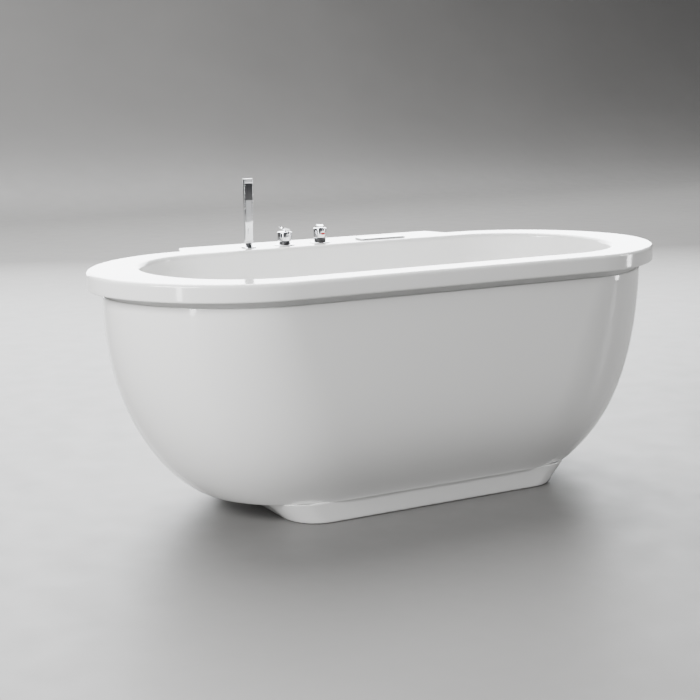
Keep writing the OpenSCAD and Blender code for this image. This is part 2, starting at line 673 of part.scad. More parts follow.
shower_path = [[diverter_x - 13, fit_y, port_end], [diverter_x - 13, fit_y, port_end - 12],
    [diverter_x - 13, fit_y, port_end - 24], [diverter_x - 13, fit_y, 500], [diverter_x - 14, fit_y, 420],
    [diverter_x - 20, fit_y, 340], [diverter_x - 40, fit_y, 285], [diverter_x - 63, fit_y, 275],
    [diverter_x - 86, fit_y, 285], [handset_x + 7, fit_y, 340], [handset_x + 1, fit_y, 420],
    [handset_x, fit_y, 460], [handset_x, fit_y, tub_h - hose_in - 24], [handset_x, fit_y, tub_h - hose_in - 12],
    [handset_x, fit_y, tub_h - hose_in - gap]];
module shower_hose() color("silver") tub_frame() hose(shower_path, hose_r, [0, 1, 0], 4, 8);

// Supply hose from the mixer at x = top down inside the skirt to a threaded end at x = low
supply_y = 215;                  // ends stand clear of the frame, inside the plinth
supply_top = valve_low - 18 - gap;
module supply_hose(top, low) {
    hose([[top, fit_y, supply_top], [top, fit_y, supply_top - 12], [top, fit_y, supply_top - 24],
        [top, fit_y + 14, 522], [top, fit_y + 19, 474], [(3 * top + low) / 4, fit_y + 17, 400],
        [(top + low) / 2, fit_y + 7, 300], [(top + 3 * low) / 4, fit_y - 20, 200], [low, 285, 140],
        [low, 235, 100], [low, supply_y, 66], [low, supply_y, 50], [low, supply_y, 38]], 6, [1, 0, 0], 4, 8);
    translate([low, supply_y, 30]) cylinder(r = 13, h = 12, $fn = 6);
    translate([low, supply_y, 12]) cylinder(r = 10.4, h = 18.5);
}
module hot_hose() color("silver") tub_frame() supply_hose(mixer_x - 12, -60);
module cold_hose() color("silver") tub_frame() supply_hose(mixer_x + 12, 10);

// ---- Every piece in turn --------------------------------------------------------------

basin_shell();
outer_skirt();
plinth();
base_board();
frame_rails();
frame_crossbars();
foot_studs();
foot_nuts();
foot_pads();
skirt_brackets();
bracket_screws();
drain_body();
drain_gasket();
drain_nut();
drain_plug();
plug_seal();
waste_tee();
tailpiece();
overflow_body();
overflow_gasket();
overflow_knob();
cable_crank();
overflow_hose();
lift_cable();
handset_bar();
handset_spray_plate();
handset_connector();
handset_hose();
handset_holder();
diverter_escutcheon();
diverter_collar();
diverter_handle();
diverter_mark();
diverter_valve();
mixer_escutcheon();
mixer_collar();
mixer_handle();
mixer_lever();
lever_pin();
mixer_mark();
mixer_valve();
spout_cover();
spout_box();
deck_washers();
deck_nuts();
link_hose();
spout_hose();
shower_hose();
hot_hose();
cold_hose();
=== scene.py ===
"""Looks of a freestanding bathtub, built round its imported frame.

The frame holds every piece at its place. This script gives the shells, the waste, the
overflow and the deck fittings finer meshes, dresses each piece in a procedural finish
and sets a plain studio round the tub. Lengths are millimetres until a mesh is placed.
"""

import json
import logging
import math
from collections.abc import Callable, Iterator, Sequence
from contextlib import contextmanager
from dataclasses import dataclass, field
from enum import Enum

import bpy
from mathutils import Matrix, Vector

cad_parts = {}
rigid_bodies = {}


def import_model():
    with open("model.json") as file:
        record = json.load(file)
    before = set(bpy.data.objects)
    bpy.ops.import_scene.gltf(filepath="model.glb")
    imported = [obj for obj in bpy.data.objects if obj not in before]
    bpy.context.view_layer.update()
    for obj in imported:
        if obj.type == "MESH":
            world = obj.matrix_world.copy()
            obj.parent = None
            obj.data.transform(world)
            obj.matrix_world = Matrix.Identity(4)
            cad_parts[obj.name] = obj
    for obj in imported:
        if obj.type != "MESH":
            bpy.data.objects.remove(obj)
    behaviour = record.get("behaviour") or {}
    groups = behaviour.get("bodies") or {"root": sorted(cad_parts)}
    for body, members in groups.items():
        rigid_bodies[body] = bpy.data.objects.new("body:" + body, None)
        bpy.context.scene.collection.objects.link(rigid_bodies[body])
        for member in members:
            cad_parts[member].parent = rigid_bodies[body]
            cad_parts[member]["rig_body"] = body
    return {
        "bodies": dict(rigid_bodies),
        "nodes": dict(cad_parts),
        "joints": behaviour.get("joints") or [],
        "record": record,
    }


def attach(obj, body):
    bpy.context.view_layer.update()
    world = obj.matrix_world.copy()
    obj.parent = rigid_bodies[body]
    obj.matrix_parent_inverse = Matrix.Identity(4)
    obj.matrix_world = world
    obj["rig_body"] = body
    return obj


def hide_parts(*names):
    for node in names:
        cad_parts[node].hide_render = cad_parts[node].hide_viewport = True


LOG = logging.getLogger("bathtub")
MM = 0.001  # metres in a millimetre
TUB_Y = -39.0  # the tub's axis in the common frame
DECK_Z = 685.0  # top of the deck
FIT_Y = 355.0  # line of the deck fittings, from the tub's axis
GAP = 0.3  # clearance between touching pieces

Point = tuple[float, float, float]
Pair = tuple[float, float]
Fitted = tuple[bpy.types.Object, str]


class Slot(Enum):
    """Finishes that the record names."""

    ACRYLIC = "white_acrylic"
    PLYWOOD = "plywood"
    FRAME_PAINT = "frame_paint"
    ZINC = "zinc_steel"
    RUBBER = "black_rubber"
    CHROME = "chrome"
    GREY_PLASTIC = "grey_plastic"
    SHEATH = "cable_sheath"
    BLACK_PLASTIC = "black_plastic"
    DARK_MARK = "dark_mark"
    RED_MARK = "red_mark"
    BRASS = "brass"
    BRAID = "braided_hose"


class Element(Enum):
    """Kinds of mesh element that can be selected."""

    EDGE = (False, True, False)
    FACE = (False, False, True)


class Way(Enum):
    """Directions in which the axis of a turned piece can point."""

    UP = (0.0, 0.0, 0.0)
    FAR = (-math.pi / 2, 0.0, 0.0)


# ---- Shader graph ----------------------------------------------------------------------


class Wire:
    """A node's output that Python's operators turn into shader maths."""

    def __init__(self, graph: "Graph", socket: bpy.types.NodeSocket) -> None:
        """Keep the graph and the socket.

        Args:
            graph: Graph that new maths nodes are added to.
            socket: Output socket that is wrapped.
        """
        self.graph = graph
        self.socket = socket

    def _maths(self, operation: str, first: object, second: object) -> "Wire":
        """Add one Math node and return its value."""
        node = self.graph.node("Math", {"operation": operation}, {0: first, 1: second})
        return self.graph.out(node)

    def __add__(self, other: object) -> "Wire":
        """Sum."""
        return self._maths("ADD", self, other)

    def __sub__(self, other: object) -> "Wire":
        """Difference."""
        return self._maths("SUBTRACT", self, other)

    def __mul__(self, other: object) -> "Wire":
        """Product."""
        return self._maths("MULTIPLY", self, other)

    def __pow__(self, other: object) -> "Wire":
        """Power."""
        return self._maths("POWER", self, other)

    def __gt__(self, other: object) -> "Wire":
        """One where this is greater, and zero elsewhere."""
        return self._maths("GREATER_THAN", self, other)

    def sine(self) -> "Wire":
        """Sine, in radians."""
        return self._maths("SINE", self, 0.0)


class Graph:
    """A material's node tree, with one way to add a node."""

    def __init__(self, name: str) -> None:
        """Start a material with an empty tree.

        Args:
            name: Name of the material.
        """
        self.material = bpy.data.materials.new(name)
        self.material.use_nodes = True
        self.tree = self.material.node_tree
        self.tree.nodes.clear()

    def node(
        self, kind: str, settings: dict | None = None, inputs: dict | None = None
    ) -> bpy.types.Node:
        """Add a shader node.

        Args:
            kind: Node type without its ShaderNode prefix.
            settings: Properties of the node, set first.
            inputs: Values or wires by the socket's name, identifier or number.

        Returns:
            The new node.
        """
        node = self.tree.nodes.new("ShaderNode" + kind)
        for key, value in (settings or {}).items():
            setattr(node, key, value)
        for key, value in (inputs or {}).items():
            socket = self._input(node, key)
            if isinstance(value, Wire):
                self.tree.links.new(value.socket, socket)
            else:
                socket.default_value = value
        return node

    @staticmethod
    def _input(node: bpy.types.Node, key: str | int) -> bpy.types.NodeSocket:
        """Find an input by number, identifier or name."""
        if isinstance(key, int):
            return node.inputs[key]
        found = [s for s in node.inputs if s.identifier == key] or [node.inputs[key]]
        return found[0]

    def out(self, node: bpy.types.Node, key: str | int = 0) -> Wire:
        """Wrap one output of a node."""
        if isinstance(key, str):
            found = [s for s in node.outputs if key in (s.identifier, s.name)]
            return Wire(self, found[0])
        return Wire(self, node.outputs[key])

    def place(self, scale: Point = (1.0, 1.0, 1.0)) -> Wire:
        """Object coordinates, stretched by a scale along each axis.

        Args:
            scale: Factors along X, Y and Z.

        Returns:
            The coordinates.
        """
        where = self.out(self.node("TexCoord"), "Object")
        mapping = self.node("Mapping", None, {"Vector": where, "Scale": scale})
        return self.out(mapping)

    def noise(self, scale: float, detail: float = 3.0, where: Wire | None = None) -> Wire:
        """Soft noise from 0 to 1.

        Args:
            scale: Cells to a metre.
            detail: Octaves of finer noise.
            where: Coordinates, or the object's own.

        Returns:
            The noise's value.
        """
        inputs = {"Vector": where or self.place(), "Scale": scale, "Detail": detail}
        return self.out(self.node("TexNoise", None, inputs), "Fac")

    def tones(self, factor: Wire, low: Point, high: Point) -> Wire:
        """A colour between two, by a factor.

        Args:
            factor: 0 for the first colour and 1 for the second.
            low: First colour.
            high: Second colour.

        Returns:
            The colour.
        """
        inputs = {"Factor_Float": factor, "A_Color": (*low, 1.0), "B_Color": (*high, 1.0)}
        node = self.node("Mix", {"data_type": "RGBA"}, inputs)
        return self.out(node, "Result_Color")

    def bump(self, height: Wire, strength: float, depth: float) -> Wire:
        """A normal raised by a height.

        Args:
            height: Height from 0 to 1.
            strength: Share of the bump that shows.
            depth: Height of 1, in metres.

        Returns:
            The normal.
        """
        inputs = {"Height": height, "Strength": strength, "Distance": depth}
        return self.out(self.node("Bump", None, inputs))

    def finish(self, constants: dict, varied: dict) -> bpy.types.Material:
        """Close the graph with one shader.

        Args:
            constants: Values set on the shader's own sockets.
            varied: Wires that vary over the surface.

        Returns:
            The material.
        """
        shader = self.node("BsdfPrincipled", None, {**constants, **varied})
        self.node("OutputMaterial", None, {"Surface": self.out(shader)})
        return self.material


# ---- Finishes --------------------------------------------------------------------------


@dataclass(frozen=True)
class Finish:
    """What every finish has: a name, a colour and how rough it is."""

    name: str
    colour: Point
    roughness: float

    def shade(self, share: float) -> Point:
        """The colour, made darker or lighter by a share."""
        return tuple(min(1.0, c * share) for c in self.colour)

    def material(self) -> bpy.types.Material:
        """Build the finish's material."""
        raise NotImplementedError


@dataclass(frozen=True)
class PolishedAcrylic(Finish):
    """Cast white acrylic under a deep gloss, with faint waves and wipe marks."""

    wave: float = 0.0012

    def material(self) -> bpy.types.Material:
        """Build the gloss acrylic material."""
        g = Graph(self.name)
        tone = g.tones(g.noise(2.2, 2.0), self.shade(0.985), self.shade(1.012))
        wipes = g.noise(7.0, 5.0, g.place((1.0, 1.0, 0.35)))
        rough = wipes * 0.05 + (self.roughness - 0.02)
        slow = g.bump(g.noise(3.5, 0.0), 1.0, self.wave)
        fine = g.node(
            "Bump",
            None,
            {"Height": g.noise(260.0, 1.0), "Strength": 0.05, "Distance": 0.0002, "Normal": slow},
        )
        return g.finish(
            {"Coat Roughness": 0.03, "Coat Weight": 0.35, "IOR": 1.49},
            {"Base Color": tone, "Roughness": rough, "Normal": g.out(fine)},
        )


@dataclass(frozen=True)
class PlatedChrome(Finish):
    """Bright chrome plating with a breath of haze and finger marks."""

    def material(self) -> bpy.types.Material:
        """Build the chrome material."""
        g = Graph(self.name)
        haze = g.noise(38.0, 4.0)
        marks = g.noise(160.0, 2.0) ** 3.0
        tone = g.tones(haze, self.shade(0.94), self.shade(1.03))
        rough = haze * 0.05 + marks * 0.08 + self.roughness
        normal = g.bump(g.noise(90.0, 0.0), 0.25, 0.00015)
        return g.finish(
            {"Metallic": 1.0},
            {"Base Color": tone, "Roughness": rough, "Normal": normal},
        )


@dataclass(frozen=True)
class Moulded(Finish):
    """Moulded plastic or rubber with a fine spark-eroded grain."""

    grain: float = 900.0
    relief: float = 0.3
    wear: float = 0.12

    def material(self) -> bpy.types.Material:
        """Build the moulded material."""
        g = Graph(self.name)
        grain = g.noise(self.grain, 2.0)
        patch = g.noise(24.0, 4.0)
        tone = g.tones(patch, self.shade(1.0 - self.wear), self.shade(1.0 + self.wear))
        rough = patch * 0.14 + grain * 0.08 + (self.roughness - 0.1)
        normal = g.bump(grain, self.relief, 0.0002)
        return g.finish({}, {"Base Color": tone, "Roughness": rough, "Normal": normal})


@dataclass(frozen=True)
class Enamel(Finish):
    """Hard enamel filling a mark, slightly domed and glossy."""

    def material(self) -> bpy.types.Material:
        """Build the enamel material."""
        g = Graph(self.name)
        fleck = g.noise(700.0, 3.0)
        tone = g.tones(fleck, self.shade(0.8), self.shade(1.25))
        normal = g.bump(g.noise(240.0, 1.0), 0.2, 0.0002)
        return g.finish(
            {"Coat Weight": 0.6},
            {"Base Color": tone, "Roughness": fleck * 0.1 + self.roughness, "Normal": normal},
        )


@dataclass(frozen=True)
class Plywood(Finish):
    """Birch plywood: long grain on the faces and plies along the edges."""

    plies: float = 2100.0

    def material(self) -> bpy.types.Material:
        """Build the plywood material."""
        g = Graph(self.name)
        grain = g.noise(30.0, 6.0, g.place((0.35, 9.0, 1.0)))
        height = g.out(g.node("SeparateXYZ", None, {0: g.place()}), "Z")
        ply = (height * self.plies).sine() > 0.0
        face = g.tones(grain, self.shade(0.72), self.shade(1.12))
        inputs = {"Factor_Float": ply * 0.35, "A_Color": face, "B_Color": (*self.shade(0.55), 1.0)}
        tone = g.out(g.node("Mix", {"data_type": "RGBA"}, inputs), "Result_Color")
        normal = g.bump(grain, 0.4, 0.0006)
        return g.finish(
            {}, {"Base Color": tone, "Roughness": grain * 0.2 + self.roughness, "Normal": normal}
        )


@dataclass(frozen=True)
class PowderCoat(Finish):
    """Satin powder coat with its fine orange peel."""

    def material(self) -> bpy.types.Material:
        """Build the powder coat material."""
        g = Graph(self.name)
        peel = g.noise(420.0, 1.0)
        dust = g.noise(14.0, 5.0)
        tone = g.tones(dust, self.shade(0.85), self.shade(1.3))
        normal = g.bump(peel, 0.35, 0.0003)
        return g.finish(
            {}, {"Base Color": tone, "Roughness": dust * 0.15 + self.roughness, "Normal": normal}
        )


@dataclass(frozen=True)
class WorkedMetal(Finish):
    """Bare, plated or machined metal with fine lines and a cloudy plating."""

    lines: float = 900.0

    def material(self) -> bpy.types.Material:
        """Build the worked metal material."""
        g = Graph(self.name)
        cloud = g.noise(55.0, 5.0)
        lathe = g.noise(self.lines, 1.0, g.place((0.08, 0.08, 1.0)))
        tone = g.tones(cloud, self.shade(0.82), self.shade(1.1))
        rough = cloud * 0.18 + lathe * 0.08 + (self.roughness - 0.08)
        return g.finish(
            {"Metallic": 1.0},
            {"Base Color": tone, "Roughness": rough, "Normal": g.bump(lathe, 0.25, 0.0001)},
        )


@dataclass(frozen=True)
class Braid(Finish):
    """Steel wires plaited round a hose, drawn in the hose's own map."""

    strands: int = 12

    def material(self) -> bpy.types.Material:
        """Build the braid material."""
        g = Graph(self.name)
        uv = g.node("SeparateXYZ", None, {0: g.out(g.node("UVMap", {"uv_map": "UVMap"}))})
        turn = g.out(uv, "X") * (self.strands * math.tau)
        run = g.out(uv, "Y") * math.tau
        left, right = (turn + run).sine(), (turn - run).sine()
        weave = left * right * 0.5 + 0.5
        tone = g.tones(weave, self.shade(0.3), self.shade(1.1))
        return g.finish(
            {"Metallic": 1.0},
            {
                "Base Color": tone,
                "Roughness": g.noise(60.0) * 0.15 + self.roughness,
                "Normal": g.bump(weave, 0.7, 0.0006),
            },
        )


FINISHES: dict[Slot, Finish] = {
    Slot.ACRYLIC: PolishedAcrylic("polished acrylic", (0.86, 0.86, 0.85), 0.12),
    Slot.PLYWOOD: Plywood("birch plywood", (0.66, 0.47, 0.28), 0.55),
    Slot.FRAME_PAINT: PowderCoat("black powder coat", (0.035, 0.036, 0.038), 0.38),
    Slot.ZINC: WorkedMetal("zinc plated steel", (0.66, 0.67, 0.7), 0.32),
    Slot.RUBBER: Moulded("black rubber", (0.022, 0.022, 0.022), 0.72, 500.0, 0.5),
    Slot.CHROME: PlatedChrome("polished chrome", (0.84, 0.85, 0.87), 0.045),
    Slot.GREY_PLASTIC: Moulded("grey drain plastic", (0.55, 0.56, 0.57), 0.45, wear=0.06),
    Slot.SHEATH: Moulded("cable sheath", (0.05, 0.05, 0.055), 0.45),
    Slot.BLACK_PLASTIC: Moulded("black plastic", (0.02, 0.02, 0.022), 0.36),
    Slot.DARK_MARK: Enamel("dark enamel", (0.03, 0.035, 0.05), 0.18),
    Slot.RED_MARK: Enamel("red enamel", (0.36, 0.008, 0.012), 0.18),
    Slot.BRASS: WorkedMetal("machined brass", (0.78, 0.56, 0.25), 0.3),
    Slot.BRAID: Braid("steel braid", (0.68, 0.69, 0.71), 0.28),
}


# ---- Bench: the ways to make a mesh ----------------------------------------------------


def clear_selection() -> None:
    """Leave edit mode and deselect everything."""
    if bpy.context.object and bpy.context.object.mode != "OBJECT":
        bpy.ops.object.mode_set(mode="OBJECT")
    bpy.ops.object.select_all(action="DESELECT")


def activate(piece: bpy.types.Object) -> None:
    """Select one piece and make it active."""
    clear_selection()
    piece.select_set(True)
    bpy.context.view_layer.objects.active = piece


def claim(name: str) -> bpy.types.Object:
    """Name the primitive that was just added."""
    piece = bpy.context.active_object
    piece.name = name
    piece.data.name = name
    return piece


@contextmanager
def editing(piece: bpy.types.Object, element: Element = Element.FACE) -> Iterator[None]:
    """Edit a piece with whatever is selected on it.

    Args:
        piece: Piece to edit.
        element: Kind of element that is selected.

    Yields:
        Nothing, in edit mode.
    """
    activate(piece)
    bpy.context.tool_settings.mesh_select_mode = element.value
    bpy.ops.object.mode_set(mode="EDIT")
    yield
    bpy.ops.object.mode_set(mode="OBJECT")


def pick_edges(piece: bpy.types.Object, test: Callable[[Vector, Vector], bool]) -> None:
    """Select the edges whose two ends pass a test.

    Args:
        piece: Piece whose edges are selected.
        test: Test of an edge's two ends, in metres.
    """
    mesh = piece.data
    for group in (mesh.vertices, mesh.edges, mesh.polygons):
        group.foreach_set("select", [False] * len(group))
    for edge in mesh.edges:
        first, second = (mesh.vertices[i].co for i in edge.vertices)
        if test(first, second):
            edge.select = True
            for i in edge.vertices:
                mesh.vertices[i].select = True


def settle(piece: bpy.types.Object, angle: float = 35.0) -> bpy.types.Object:
    """Merge doubles, turn the faces outwards, shade smoothly and fix the place.

    Args:
        piece: Piece to finish.
        angle: Sharpest angle that is still shaded smoothly, in degrees.

    Returns:
        The same piece, with its object at the origin.
    """
    activate(piece)
    bpy.ops.object.transform_apply(location=True, rotation=True, scale=True)
    with editing(piece):
        bpy.ops.mesh.select_all(action="SELECT")
        bpy.ops.mesh.remove_doubles(threshold=1e-6)
        bpy.ops.mesh.normals_make_consistent(inside=False)
    activate(piece)
    bpy.ops.object.shade_smooth_by_angle(angle=math.radians(angle))
    return piece


def apply_modifier(piece: bpy.types.Object, kind: str, settings: dict) -> None:
    """Add a modifier, set it and apply it.

    Args:
        piece: Piece that gets the modifier.
        kind: Modifier type.
        settings: Properties of the modifier.
    """
    modifier = piece.modifiers.new(kind.title(), kind)
    for key, value in settings.items():
        setattr(modifier, key, value)
    activate(piece)
    bpy.ops.object.modifier_apply(modifier=modifier.name)


def carve(piece: bpy.types.Object, *cutters: bpy.types.Object) -> None:
    """Cut the cutters out of a piece and throw them away."""
    for cutter in cutters:
        settings = {"object": cutter, "operation": "DIFFERENCE", "solver": "EXACT"}
        apply_modifier(piece, "BOOLEAN", settings)
        bpy.data.meshes.remove(cutter.data)


def join(name: str, *pieces: bpy.types.Object) -> bpy.types.Object:
    """Join meshes into one piece.

    Args:
        name: Name of the joined piece.
        pieces: Meshes to join, the first of which is kept.

    Returns:
        The joined piece.
    """
    clear_selection()
    for piece in pieces:
        piece.select_set(True)
    bpy.context.view_layer.objects.active = pieces[0]
    bpy.ops.object.join()
    return claim(name)


def soften(piece: bpy.types.Object, width: float, segments: int = 3, angle: float = 30.0) -> None:
    """Round every sharp edge of a piece.

    Args:
        piece: Piece to soften.
        width: Width of the rounding, in millimetres.
        segments: Steps across it.
        angle: Least angle that counts as sharp, in degrees.
    """
    settings = {
        "width": width * MM,
        "segments": segments,
        "limit_method": "ANGLE",
        "angle_limit": math.radians(angle),
        "miter_outer": "MITER_ARC",
    }
    apply_modifier(piece, "BEVEL", settings)


def wrapped_grid(
    name: str, columns: int, rows: int, place: Callable[[int, int], Point], capped: bool = False
) -> bpy.types.Object:
    """Wrap a grid round a shape: its columns go round, and its rows along the section.

    Args:
        name: Name of the piece.
        columns: Faces round the piece.
        rows: Faces along the section.
        place: Point of a column and a row, in millimetres.
        capped: Whether the first and the last row are closed with a face.

    Returns:
        The piece, merged along its seam.
    """
    clear_selection()
    bpy.ops.mesh.primitive_grid_add(x_subdivisions=columns, y_subdivisions=rows, size=2.0)
    piece = claim(name)
    vertices = piece.data.vertices
    assert len(vertices) == (columns + 1) * (rows + 1), len(vertices)
    for vertex in vertices:
        column = round((vertex.co.x + 1.0) / 2.0 * columns) % columns
        row = round((vertex.co.y + 1.0) / 2.0 * rows)
        vertex.co = Vector(place(column, row)) * MM
    with editing(piece):
        bpy.ops.mesh.select_all(action="SELECT")
        bpy.ops.mesh.remove_doubles(threshold=1e-6)
        if capped:
            bpy.ops.mesh.select_all(action="DESELECT")
            bpy.context.tool_settings.mesh_select_mode = Element.EDGE.value
            bpy.ops.mesh.select_mode(type="EDGE")
            bpy.ops.mesh.select_non_manifold()
            bpy.ops.mesh.fill_holes(sides=0)
    return piece


def turned(
    name: str, profile: Sequence[Pair], centre: Point, way: Way = Way.UP, closed: bool = False,
    segments: int = 72,
) -> bpy.types.Object:
    """Turn a piece by drawing a ring out and resizing it, step by step up its profile.

    Args:
        name: Name of the piece.
        profile: Radii and heights along the axis, in millimetres.
        centre: Foot of the axis, in millimetres.
        way: Direction of the axis.
        closed: Whether the profile runs back to its start, as for a ring.
        segments: Faces round the axis.

    Returns:
        The piece, with sharp edges where the profile has them.
    """
    clear_selection()
    radius, height = profile[0]
    bpy.ops.mesh.primitive_circle_add(
        vertices=segments, radius=radius * MM, fill_type="NOTHING", location=(0.0, 0.0, height * MM)
    )
    piece = claim(name)
    bpy.ops.object.transform_apply(location=True)
    with editing(piece, Element.EDGE):
        bpy.ops.mesh.select_all(action="SELECT")
        for step, level in [*profile[1:], *(profile[:1] if closed else [])]:
            rise = (0.0, 0.0, (level - height) * MM)
            bpy.ops.mesh.extrude_region_move(TRANSFORM_OT_translate={"value": rise})
            share = step / radius
            bpy.ops.transform.resize(
                value=(share, share, 1.0), center_override=(0.0, 0.0, level * MM)
            )
            radius, height = step, level
        bpy.ops.mesh.select_all(action="SELECT")
        bpy.ops.mesh.remove_doubles(threshold=1e-7)
        if not closed:
            bpy.ops.mesh.select_all(action="DESELECT")
            bpy.ops.mesh.select_non_manifold()
            bpy.ops.mesh.fill_holes(sides=0)
    piece.rotation_euler = way.value
    piece.location = Vector(centre) * MM
    return settle(piece)


def block(
    name: str, size: Point, low: Point, corner: float = 0.0, steps: int = 6
) -> bpy.types.Object:
    """Make a block with round upright corners.

    Args:
        name: Name of the piece.
        size: Length, width and height, in millimetres.
        low: Middle of its underside, in millimetres.
        corner: Radius of the upright corners.
        steps: Faces round each corner.

    Returns:
        The block.
    """
    clear_selection()
    middle = Vector((low[0], low[1], low[2] + size[2] / 2)) * MM
    bpy.ops.mesh.primitive_cube_add(size=1.0, location=middle, scale=Vector(size) * MM)
    piece = claim(name)
    bpy.ops.object.transform_apply(location=True, rotation=True, scale=True)
    if corner:
        pick_edges(piece, lambda a, b: abs(a.z - b.z) > 0.5 * size[2] * MM)
        with editing(piece, Element.EDGE):
            bpy.ops.mesh.bevel(offset=corner * MM, segments=steps, affect="EDGES")
    return piece


def stadium(name: str, length: float, width: float, depth: float, at: Point) -> bpy.types.Object:
    """Make a flat stadium plate that faces -Y.

    Args:
        name: Name of the piece.
        length: Length along X, in millimetres.
        width: Height of the plate.
        depth: Thickness along Y.
        at: Middle of the plate, in millimetres.

    Returns:
        The plate.
    """
    clear_selection()
    size = Vector((length, depth, width)) * MM
    bpy.ops.mesh.primitive_cube_add(size=1.0, location=Vector(at) * MM, scale=size)
    piece = claim(name)
    bpy.ops.object.transform_apply(location=True, rotation=True, scale=True)
    pick_edges(piece, lambda a, b: abs(a.y - b.y) > 0.5 * depth * MM)
    with editing(piece, Element.EDGE):
        bpy.ops.mesh.bevel(offset=(width / 2 - 0.01) * MM, segments=8, affect="EDGES")
    return piece


# ---- Workshop: fits the pieces to the frame --------------------------------------------


@dataclass
class Workshop:
    """Knows the frame, keeps each material once and fits the pieces."""

    frame: dict
    materials: dict[Slot, bpy.types.Material] = field(default_factory=dict)

    def material(self, slot: Slot) -> bpy.types.Material:
        """The slot's material, built when it is first asked for."""
        if slot not in self.materials:
            self.materials[slot] = FINISHES[slot].material()
        return self.materials[slot]

    def slot_of(self, node: str) -> Slot:
        """The slot that the record gives a node."""
        rows = {row["node"]: row for row in self.frame["record"]["subparts"]}
        return Slot(rows[node]["material_slot"])

    def fit(self, piece: bpy.types.Object, node: str) -> bpy.types.Object:
        """Dress a piece and put it in the place of a frame node.

        Args:
            piece: Finished mesh.
            node: Node that the piece stands for.

        Returns:
            The piece.
        """
        slot = self.slot_of(node)
        piece.data.materials.clear()
        piece.data.materials.append(self.material(slot))
        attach(piece, self.frame["nodes"][node]["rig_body"])
        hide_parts(node)
        faces = len(piece.data.polygons)
        LOG.info("%s: %d faces, %s, in place of %s", piece.name, faces, slot.value, node)
        return piece

    def dress_frame(self) -> None:
        """Give every frame node its material."""
        for name, node in self.frame["nodes"].items():
            for place in node.material_slots:
                place.material = self.material(self.slot_of(name))
        LOG.info("%d frame nodes dressed", len(self.frame["nodes"]))


class Assembly:
    """Pieces that are made together and stand for nodes of the frame."""

    def pieces(self) -> Iterator[Fitted]:
        """Make the pieces, each with the node that it stands for."""
        raise NotImplementedError

    def build(self, shop: Workshop) -> None:
        """Make every piece and fit it.

        Args:
            shop: Workshop that fits the pieces.
        """
        for piece, node in self.pieces():
            shop.fit(piece, node)


# ---- Ovals -----------------------------------------------------------------------------


def signed_power(value: float, power: float) -> float:
    """Power of a number's size that keeps its sign."""
    return math.copysign(abs(value) ** power, value)


def ease(share: float) -> float:
    """Smooth step from 0 to 1."""
    share = min(1.0, max(0.0, share))
    return share * share * (3.0 - 2.0 * share)


@dataclass(frozen=True)
class Oval:
    """The tub's plan: straight sides, round ends and a ledge for the fittings."""

    straight: float = 491.0
    ledge_x: float = -18.0
    ledge_half: float = 452.0
    ledge_soft: float = 40.0
    ledge_out: float = 78.0
    end_steps: int = 44
    soft_steps: int = 12
    side_steps: int = 8

    def ledge_at(self, x: float) -> float:
        """How much of the ledge there is at x, from 0 to 1."""
        reach = self.ledge_half + self.ledge_soft / 2 - abs(x - self.ledge_x)
        return ease(reach / self.ledge_soft)

    def far_stations(self) -> list[float]:
        """Places along the ledge side, from +X to -X."""
        stations = []
        for side in (1.0, -1.0):
            start = self.ledge_x + side * self.ledge_half + self.ledge_soft / 2
            step = self.ledge_soft / self.soft_steps
            stations.append([start - k * step for k in range(self.soft_steps + 1)])
        first, last = stations[0][-1], stations[1][0]
        pitch = (first - last) / self.side_steps
        between = [first - k * pitch for k in range(1, self.side_steps)]
        return [*stations[0], *between, *stations[1]]

    def outline(self, a: float, b: float, s: float, power: float, bump: float) -> list[Pair]:
        """Points round one level.

        Args:
            a: Half length.
            b: Half width.
            s: Half length of the straight sides.
            power: Roundness of the ends, 2 being an ellipse.
            bump: How far the ledge stands out at this level.

        Returns:
            The points, from the near side's +X end round to the near side again.
        """
        points: list[Pair] = []
        for start, way in ((-90.0, 1.0), (90.0, -1.0)):
            for k in range(self.end_steps + 1):
                t = math.radians(start + 180.0 * k / self.end_steps)
                x = way * s + (a - s) * signed_power(math.cos(t), 2.0 / power)
                points.append((x, b * signed_power(math.sin(t), 2.0 / power)))
            if way > 0:
                for x in self.far_stations():
                    points.append((x * s / self.straight, b + bump * self.ledge_at(x)))
        for k in range(1, self.side_steps):
            points.append((-s + 2.0 * s * k / self.side_steps, -b))
        return points


PLAN = Oval()
Level = list[Point]


def level(a: float, b: float, s: float, power: float, bump: float, z: float) -> Level:
    """Points round one level of the tub at height z, in the part's frame."""
    return [(x, y + TUB_Y, z) for x, y in PLAN.outline(a, b, s, power, bump)]


def shares(steps: int, bend: float) -> list[float]:
    """Numbers from 0 to 1, closer together near 0 when bend is above 1."""
    return [(k / steps) ** bend for k in range(steps + 1)]


def quarter(steps: int) -> list[Pair]:
    """Sines and cosines of a quarter turn, its start and end among them."""
    turns = [math.pi / 2 * k / steps for k in range(steps + 1)]
    return [(math.sin(t), math.cos(t)) for t in turns]


# ---- Shells ----------------------------------------------------------------------------


